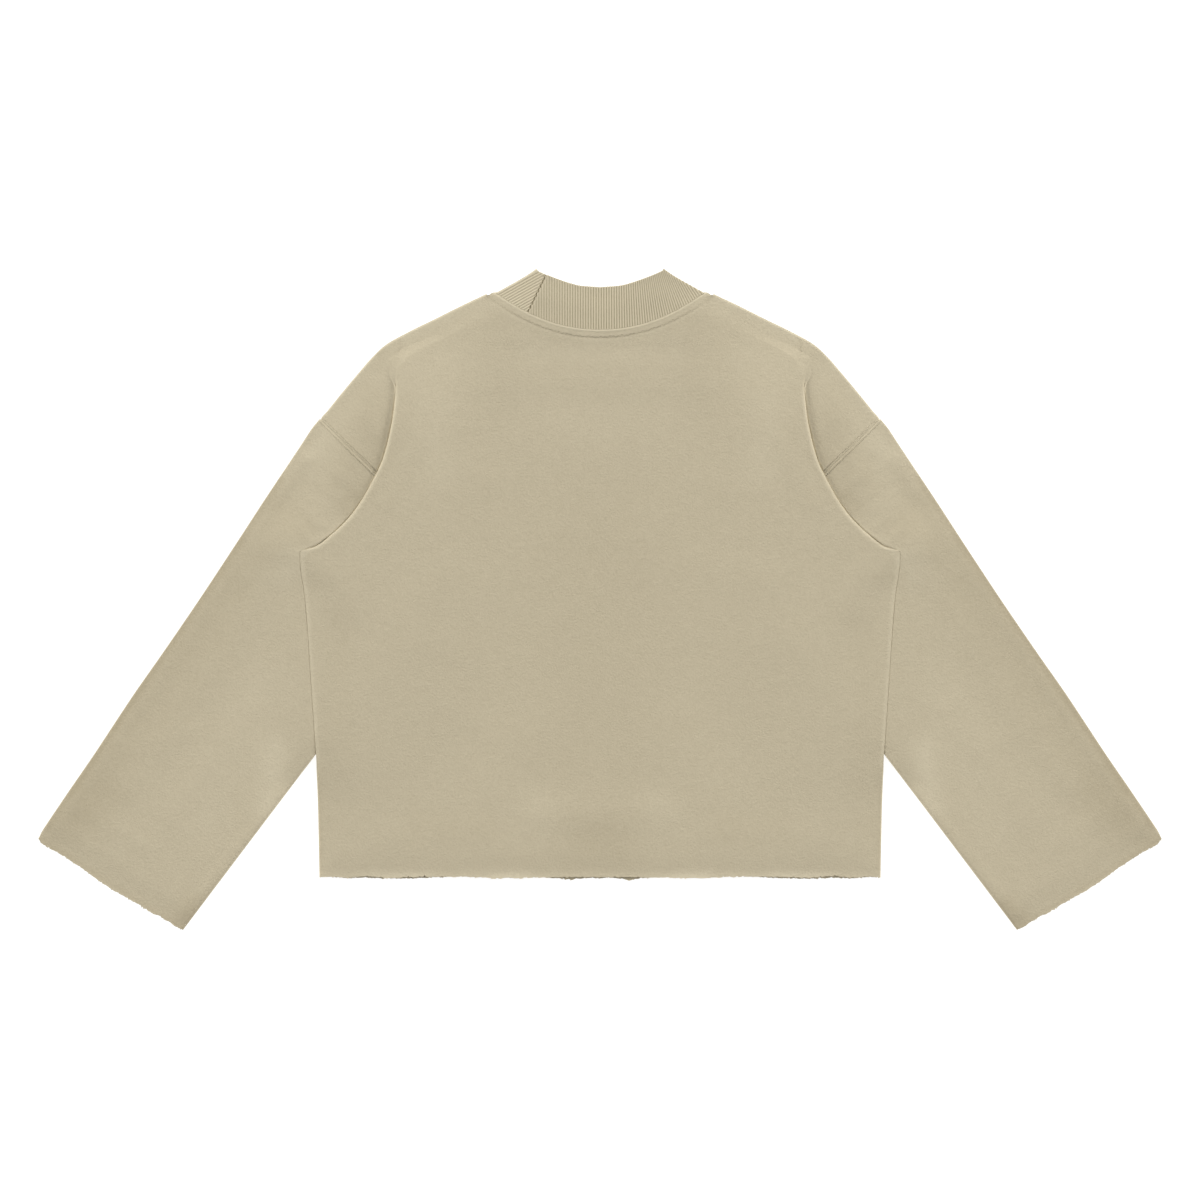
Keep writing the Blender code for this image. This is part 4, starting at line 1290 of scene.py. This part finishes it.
def rib_place(x, y):
    """Millimetres across the ribs, from the centre, at places on the collar's outside."""

    def lean(foot):
        return np.radians(LEAN) * np.clip(foot / NECK_SIDE[0], 0, 1.1) ** LEAN_POWER

    foot = x
    for _ in range(14):
        foot = x + (y - neck_line(foot)) * np.tan(lean(foot))
    feet = np.linspace(-120, 120, 481)
    pace = np.cos(lean(feet)) + np.gradient(neck_line(feet), feet) * np.sin(lean(feet))
    walked = np.cumsum(pace) * (feet[1] - feet[0])
    return np.interp(foot, feet, walked - walked[len(feet) // 2])


def collar_strip(up):
    """The middle of the whole strip at heights up, its normals, and its places across the ribs."""
    up = up[:, None]
    places, normals, ribs = [], [], []
    front_to_back = (BACK_Z - FRONT_Z) / 2

    back_r = np.arange(BACK_START, STRIP_QUARTER + FINE / 2, FINE)[None, :]
    places.append(collar_point(back_r, up, True))
    normals.append(np.zeros_like(places[-1]) + (0.0, 0.0, 1.0))
    ribs.append(rib_place(places[0][..., 0], places[0][..., 1]))
    walked = ribs[0][:, -1:]
    for half in (1, -1):
        fold = collar_point(np.array([[half * STRIP_QUARTER]]), up, True)
        out = (half * COLLAR_FOLD_OUT[0], COLLAR_FOLD_OUT[1], 0.0)
        angles = np.radians(np.linspace(90, -90, FOLD_STEPS + 1))[1:-1] * half
        way = np.cos(angles)[None, :, None] * np.array(out) + np.sin(angles)[None, :, None] * (0, 0, 1)
        middle = fold - (0, 0, front_to_back)
        folded = middle + way * front_to_back
        # the fold's foot is drawn down to the body's edge, which slants away from it
        downwards = np.array((half * COLLAR_FOLD_OUT[1], -COLLAR_FOLD_OUT[0], 0.0))
        slant = FOOT_SLANT * (front_to_back + HALF_RIB) * np.cos(angles)[None, :, None]
        folded = folded + downwards * slant * (1 - up[..., None]) ** LATE
        arc_ribs = walked + np.linspace(0, FOLD_LENGTH, FOLD_STEPS + 1)[None, 1:-1]
        if half > 0:
            front_r = np.arange(STRIP_QUARTER, -STRIP_QUARTER - COARSE / 2, -COARSE)[None, :]
            front_part = collar_point(front_r, up, False)
            places += [folded, front_part]
            normals += [np.broadcast_to(way, folded.shape), np.zeros_like(front_part) - (0, 0, 1.0)]
            ribs += [arc_ribs, walked + FOLD_LENGTH + STRIP_QUARTER - front_r]
            walked = ribs[-1][:1, -1:] + 0 * walked
        else:
            places.append(folded)
            normals.append(np.broadcast_to(way, folded.shape))
            ribs.append(arc_ribs)
            walked = walked + FOLD_LENGTH

    end_piece, end_ribs = collar_end(up)
    places.append(end_piece)
    normals.append(np.zeros_like(end_piece) + (0.0, 0.0, 1.0))
    ribs.append(walked + end_ribs[None, :])
    return (
        np.concatenate(places, axis=1),
        np.concatenate(normals, axis=1),
        np.concatenate(ribs, axis=1),
        back_r.shape[1],
        end_piece.shape[1],
    )


def join_x(y):
    """Place across of the collar's join at a height."""
    share = (y - JOIN_FOOT[1]) / (JOIN_TOP[1] - JOIN_FOOT[1])
    lean = (JOIN_TOP[0] - JOIN_FOOT[0]) / (JOIN_TOP[1] - JOIN_FOOT[1])
    step = (y / JOIN_STEP) % 1
    jag = lean * JOIN_STEP * (np.minimum(step / JOIN_RUN, 1) - step)
    return JOIN_FOOT[0] + (JOIN_TOP[0] - JOIN_FOOT[0]) * share + jag


def collar_end(up):
    """The piece left of the join, whose ribs all lie parallel to the side fold."""
    corner = np.array((-COLLAR_FOOT[0], COLLAR_FOOT[1]))
    peak = np.array((-COLLAR_PEAK[0], COLLAR_PEAK[1]))
    way = (peak - corner) / np.linalg.norm(peak - corner)
    x = np.linspace(corner[0], JOIN_FOOT[0] - JOIN_GAP, END_COLUMNS)[1:]
    base = np.stack([x, neck_line(x) + SEWN_GAP - GAP / 2], axis=-1)
    ribs = np.abs((base[:, 0] - corner[0]) * way[1] - (base[:, 1] - corner[1]) * way[0])
    join_way = np.array(JOIN_TOP) - np.array(JOIN_FOOT)
    to_join = np.array(JOIN_FOOT) + (JOIN_REACH, 0) - base
    to_join = (to_join[:, 0] * join_way[1] - to_join[:, 1] * join_way[0]) / (
        way[0] * join_way[1] - way[1] * join_way[0]
    )
    to_top = np.full(len(ribs), np.linalg.norm(peak - corner))
    for _ in range(8):
        tip = base + way * to_top[:, None]
        to_top += (curve_value(BACK_TOP, -tip[:, 0]) - HALF_RIB - tip[:, 1]) / (2 * way[1])
    reach = np.minimum(to_join, to_top)
    flat = base[None] + way * np.maximum(reach, 0.05)[None, :, None] * up[..., None]
    flat[..., 0] = np.minimum(flat[..., 0], join_x(flat[..., 1]) - JOIN_GAP)
    x, y = -flat[..., 0], flat[..., 1]
    fold_y = peak[1] + (x + peak[0]) * (corner[1] - peak[1]) / (peak[0] - corner[0])
    top = np.where(x > -peak[0], fold_y, curve_value(BACK_TOP, x))
    height = np.clip((y - neck_line(x)) / np.maximum(top - neck_line(x), 1.0), 0, 1)
    across = np.clip(x / (COLLAR_FOOT[0] + (COLLAR_PEAK[0] - COLLAR_FOOT[0]) * height), 0, 1)
    z = BACK_Z - COLLAR_SAG * height * (1 - across**2)
    return np.concatenate([flat, z[..., None]], axis=-1), ribs


# %% [markdown]
# Half the collar's thickness lies on each side of that middle. It is a little less in the furrows between
# ribs, and runs out at the join, where both edges dip and leave a thin dark line, which is deepened by
# painted shade, with a painted light line beside it.

# %% Build the collar
JOIN_EASE = 1.2
# the ribs' painted shade: its mean share of the colour range, and how strongly the furrows are painted
# darker
RIB_TONE = 0.42
RIB_CONTRAST = 1.1
FAR_TONE = (-0.13, 0.06, 90.0)  # on the back half, its change to the right, and over what distance
END_TONE = 0.18  # left of the join the ribs face the light
PAINTED_JOIN_SHADE = 0.9  # width of the painted shade along the join
PAINTED_JOIN_LIGHT = (2.0, 0.8, 0.4)  # the painted light line beside it: how far off, how wide, how light
PAINTED_FOLD_SHADE = (9, -0.4)  # columns of the right side fold with painted shade, and how much


def build_collar():
    """The double rib collar."""
    up = np.linspace(0, 1, OUTSIDE_STATIONS)
    middle, normal, ribs, back_count, end_count = collar_strip(up)
    wave = 0.5 + 0.5 * np.cos(2 * np.pi * ribs / RIB_PITCH)
    half = HALF_RIB - RIB_DEPTH * (1 - wave**0.7)

    x, y = middle[:, :back_count, 0], middle[:, :back_count, 1]
    join_top = curve_value(BACK_TOP, -JOIN_TOP[0]) - HALF_RIB
    y[...] = np.where(x < join_x(y), np.minimum(y, join_top), y)
    seam = join_x(y)
    middle[:, :back_count, 0] = np.maximum(x, seam)
    half[:, :back_count] *= smooth_step(0.08 + (middle[:, :back_count, 0] - seam) / JOIN_EASE)
    end = middle[:, -end_count:]
    half[:, -end_count:] *= smooth_step(0.1 + (join_x(end[..., 1]) - end[..., 0]) / JOIN_EASE)
    half[:, :1] = 0.0
    half[:, -1:] = 0.0

    top, rise = middle[-1], middle[-1] - middle[-2]
    rise[:back_count, 0] = np.minimum(rise[:back_count, 0], 0.2)
    rise /= np.linalg.norm(rise, axis=1)[:, None] + 1e-9
    rounds = []
    for angle in np.radians(np.linspace(90, -90, 9))[1:-1]:
        rounds.append(top + (rise * math.cos(angle) + normal[-1] * math.sin(angle)) * half[-1][:, None])
    inside = np.linspace(OUTSIDE_STATIONS - 1, 0, INSIDE_STATIONS).round().astype(int)
    outer = middle + normal * half[..., None]
    inner = (middle - normal * half[..., None])[inside]
    points = np.concatenate([outer, np.array(rounds), inner, outer[:1]])

    strides = np.linalg.norm(np.diff(points, axis=0), axis=-1)
    rest = np.concatenate([0 * strides[:1], np.cumsum(strides, axis=0)])
    level = [*range(OUTSIDE_STATIONS), *[OUTSIDE_STATIONS - 1] * len(rounds), *inside, 0]
    cloth = np.stack([ribs[level], rest], axis=-1)
    # Painted light across the ribs: a change over the back half, and lighter left of the join, where the
    # ribs face the light.
    lean = np.zeros(ribs.shape[1])
    start, change, over = FAR_TONE
    lean[:back_count] = start + change * np.clip(middle[0, :back_count, 0] / over, -0.3, 1)
    lean[-end_count:] = END_TONE
    off, width, light = PAINTED_JOIN_LIGHT
    rim = np.zeros(ribs.shape)
    rim[:, :back_count] = light * hump(x - seam, off, width) - hump(x - seam, 0, PAINTED_JOIN_SHADE)
    rim[:, -end_count:] = -hump(join_x(end[..., 1]) - end[..., 0], 0, PAINTED_JOIN_SHADE)
    rim[:, back_count : back_count + PAINTED_FOLD_SHADE[0]] = PAINTED_FOLD_SHADE[1]
    # All painted: shade in the furrows, light across the ribs, and the lines at the join and the right side
    # fold.
    tone = RIB_TONE + RIB_CONTRAST * (wave[level] - RIB_TONE) + lean[None, :] + rim[level]
    return shell("collar_rib", raised(points), RIB_FINISH, tone=tone, cloth=cloth)


collar = build_collar()

# %% [markdown]
# ## Stitches
# Each stitch is a short rounded stretch of thread, sunk in the groove it pulls. One stitch is a small
# sphere, drawn out, and copies of it stand along each line. A ray from above finds the cloth under it.

# %% Stitch makers
THREAD = 0.38
STITCH_LONG = 3.2
SUNK = 0.1  # share of its thickness that a stitch lies in the cloth
RAY_HEIGHT = 0.1  # metres


def surface_of(*pieces):
    """A search tree over the cloth of these pieces."""
    form = bmesh.new()
    for piece in pieces:
        form.from_mesh(piece.data)
    tree = BVHTree.FromBMesh(form)
    form.free()
    return tree


def sew(name, lines, cloth):
    """Stitches along lines of (x, y) points, in millimetres, laid on the cloth."""
    form = bmesh.new()
    for line in lines:
        line = np.array(line)
        steps = np.hypot(*np.diff(line, axis=0).T)
        walked = np.concatenate([[0.0], np.cumsum(steps)])
        for start in np.arange(STITCH_MM * 0.3, walked[-1] - STITCH_LONG, STITCH_MM):
            ends = []
            for far in (start, start + STITCH_LONG):
                x, y = np.interp(far, walked, line[:, 0]), np.interp(far, walked, line[:, 1])
                hit = cloth.ray_cast(Vector((x * MM, y * MM, RAY_HEIGHT)), Vector((0, 0, -1)))[0]
                if hit:
                    ends.append(hit)
            if len(ends) < 2:
                continue
            low, high = ends
            made = bmesh.ops.create_uvsphere(form, u_segments=6, v_segments=5, radius=0.5)["verts"]
            turn = (high - low).to_track_quat("Z", "Y").to_matrix().to_4x4()
            size = Matrix.Diagonal((THREAD * MM, THREAD * MM, (high - low).length + THREAD * MM, 1))
            place = Matrix.Translation((low + high) / 2 + Vector((0, 0, -SUNK * THREAD * MM)))
            bmesh.ops.transform(form, matrix=place @ turn @ size, verts=made)
    mesh = bpy.data.meshes.new(name)
    bmesh.ops.recalc_face_normals(form, faces=form.faces)
    form.to_mesh(mesh)
    form.free()
    return finished(name, mesh, THREAD_FINISH)


# %% Sew the neck and the armholes
NECK_THREAD_END = 108.0
ARM_THREAD = (2.5, 78.0)  # from the shoulder, where the twin needle starts and how long it runs


def neck_path():
    """The coverstitch below the neck seam, from shoulder to shoulder."""
    x = np.linspace(-NECK_THREAD_END, NECK_THREAD_END, 120)
    slope = np.sign(x) * neck_slope(x)
    lean = np.sqrt(1 + slope**2)
    return np.stack([x + NECK_STITCH * slope / lean, neck_line(x) - NECK_STITCH / lean], axis=-1)


def armhole_path(half, side):
    """One line of the twin needle, from the shoulder to the pleat."""
    start = np.array(SHOULDER_TIP) + ARM_WAY * ARM_THREAD[0]
    across = np.array((ARM_WAY[1], -ARM_WAY[0])) * ARM_STITCH * side
    return [(start + across) * (half, 1), (start + across + ARM_WAY * ARM_THREAD[1]) * (half, 1)]


neck_thread = sew("neck_coverstitch", [neck_path()], surface_of(back))
arm_threads = {}
for word, half, sleeve in (("right", 1, sleeve_right), ("left", -1, sleeve_left)):
    lines = [armhole_path(half, side) for side in (1, -1)]
    arm_threads[half] = sew(f"{word}_armhole_stitches", lines, surface_of(back, sleeve))

# %% [markdown]
# ## Stage, light and camera
# The photograph is a cut-out on white, taken from straight above. The table here is white and glows a
# little, like a light table, so it stays pale. The light is soft and comes low from beyond both
# shoulders: that is what brightens the rounded edges and leaves a shade beside each pleat.

# %% Stage
TABLE_HALF = 6.0  # metres
TABLE_COLOUR = "#bcbcbc"
TABLE_GLOW = 0.78
TABLE_CLEAR = 0.0002  # it lies this far, in metres, below the garment


def build_floor():
    """A wide, plain pale table top."""
    form = bmesh.new()
    bmesh.ops.create_grid(form, x_segments=2, y_segments=2, size=TABLE_HALF)
    mesh = bpy.data.meshes.new("table")
    form.to_mesh(mesh)
    form.free()
    material, _, shader = new_finish("white_table", 0.9, 0.0)
    shader.inputs["Base Color"].default_value = linear(TABLE_COLOUR)
    shader.inputs["Emission Color"].default_value = (1, 1, 1, 1)
    shader.inputs["Emission Strength"].default_value = TABLE_GLOW
    mesh.materials.append(material)
    floor = bpy.data.objects.new("table", mesh)
    bpy.context.scene.collection.objects.link(floor)
    floor.location.z = -TABLE_CLEAR


SUN_STRENGTH = 2.4
SUN_HEIGHT = 18.0  # degrees above the table
SUN_SWING = 24.0  # degrees towards the neck
SUN_WIDTH = 20.0  # degrees, for soft shadows
SKY_STRENGTH = 0.49


def build_lights():
    """Two low suns beyond the shoulders and an even sky."""
    for half in (1, -1):
        lamp = bpy.data.lights.new("window", "SUN")
        lamp.energy = SUN_STRENGTH
        lamp.angle = math.radians(SUN_WIDTH)
        sun = bpy.data.objects.new("window", lamp)
        swing, height = math.radians(SUN_SWING), math.radians(SUN_HEIGHT)
        way = Vector((
            half * math.cos(swing) * math.cos(height), math.sin(swing) * math.cos(height),
            math.sin(height),
        ))
        sun.rotation_euler = way.to_track_quat("Z", "Y").to_euler()
        bpy.context.scene.collection.objects.link(sun)
    world = bpy.data.worlds.new("studio")
    world.use_nodes = True
    world.node_tree.nodes["Background"].inputs["Color"].default_value = (1, 1, 1, 1)
    world.node_tree.nodes["Background"].inputs["Strength"].default_value = SKY_STRENGTH
    bpy.context.scene.world = world


FRAME_WIDTH = 1.2  # the photograph's frame at the garment, in metres
LENS = 120.0


def build_camera():
    """A long lens straight above, with the neck at the top of the picture."""
    data = bpy.data.cameras.new("camera")
    data.lens = LENS
    camera = bpy.data.objects.new("camera", data)
    bpy.context.scene.collection.objects.link(camera)
    camera.location = (0.0, 0.0, FRAME_WIDTH * LENS / data.sensor_width)
    bpy.context.scene.camera = camera


build_floor()
build_lights()
build_camera()
bpy.context.scene.view_settings.view_transform = "Standard"

# %% [markdown]
# ## Hand the pieces over
# Each piece rides on the garment's one body and stands for its own solid.

PIECES = [
    (back, "back", "fleece"),
    (front, "front", "fleece"),
    (sleeve_right, "sleeve_right", "fleece"),
    (sleeve_left, "sleeve_left", "fleece"),
    (collar, "collar", "rib"),
]
for piece, node, slot in PIECES:
    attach(piece, "root")
    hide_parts(node)
for piece in (neck_thread, *arm_threads.values()):
    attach(piece, "root")
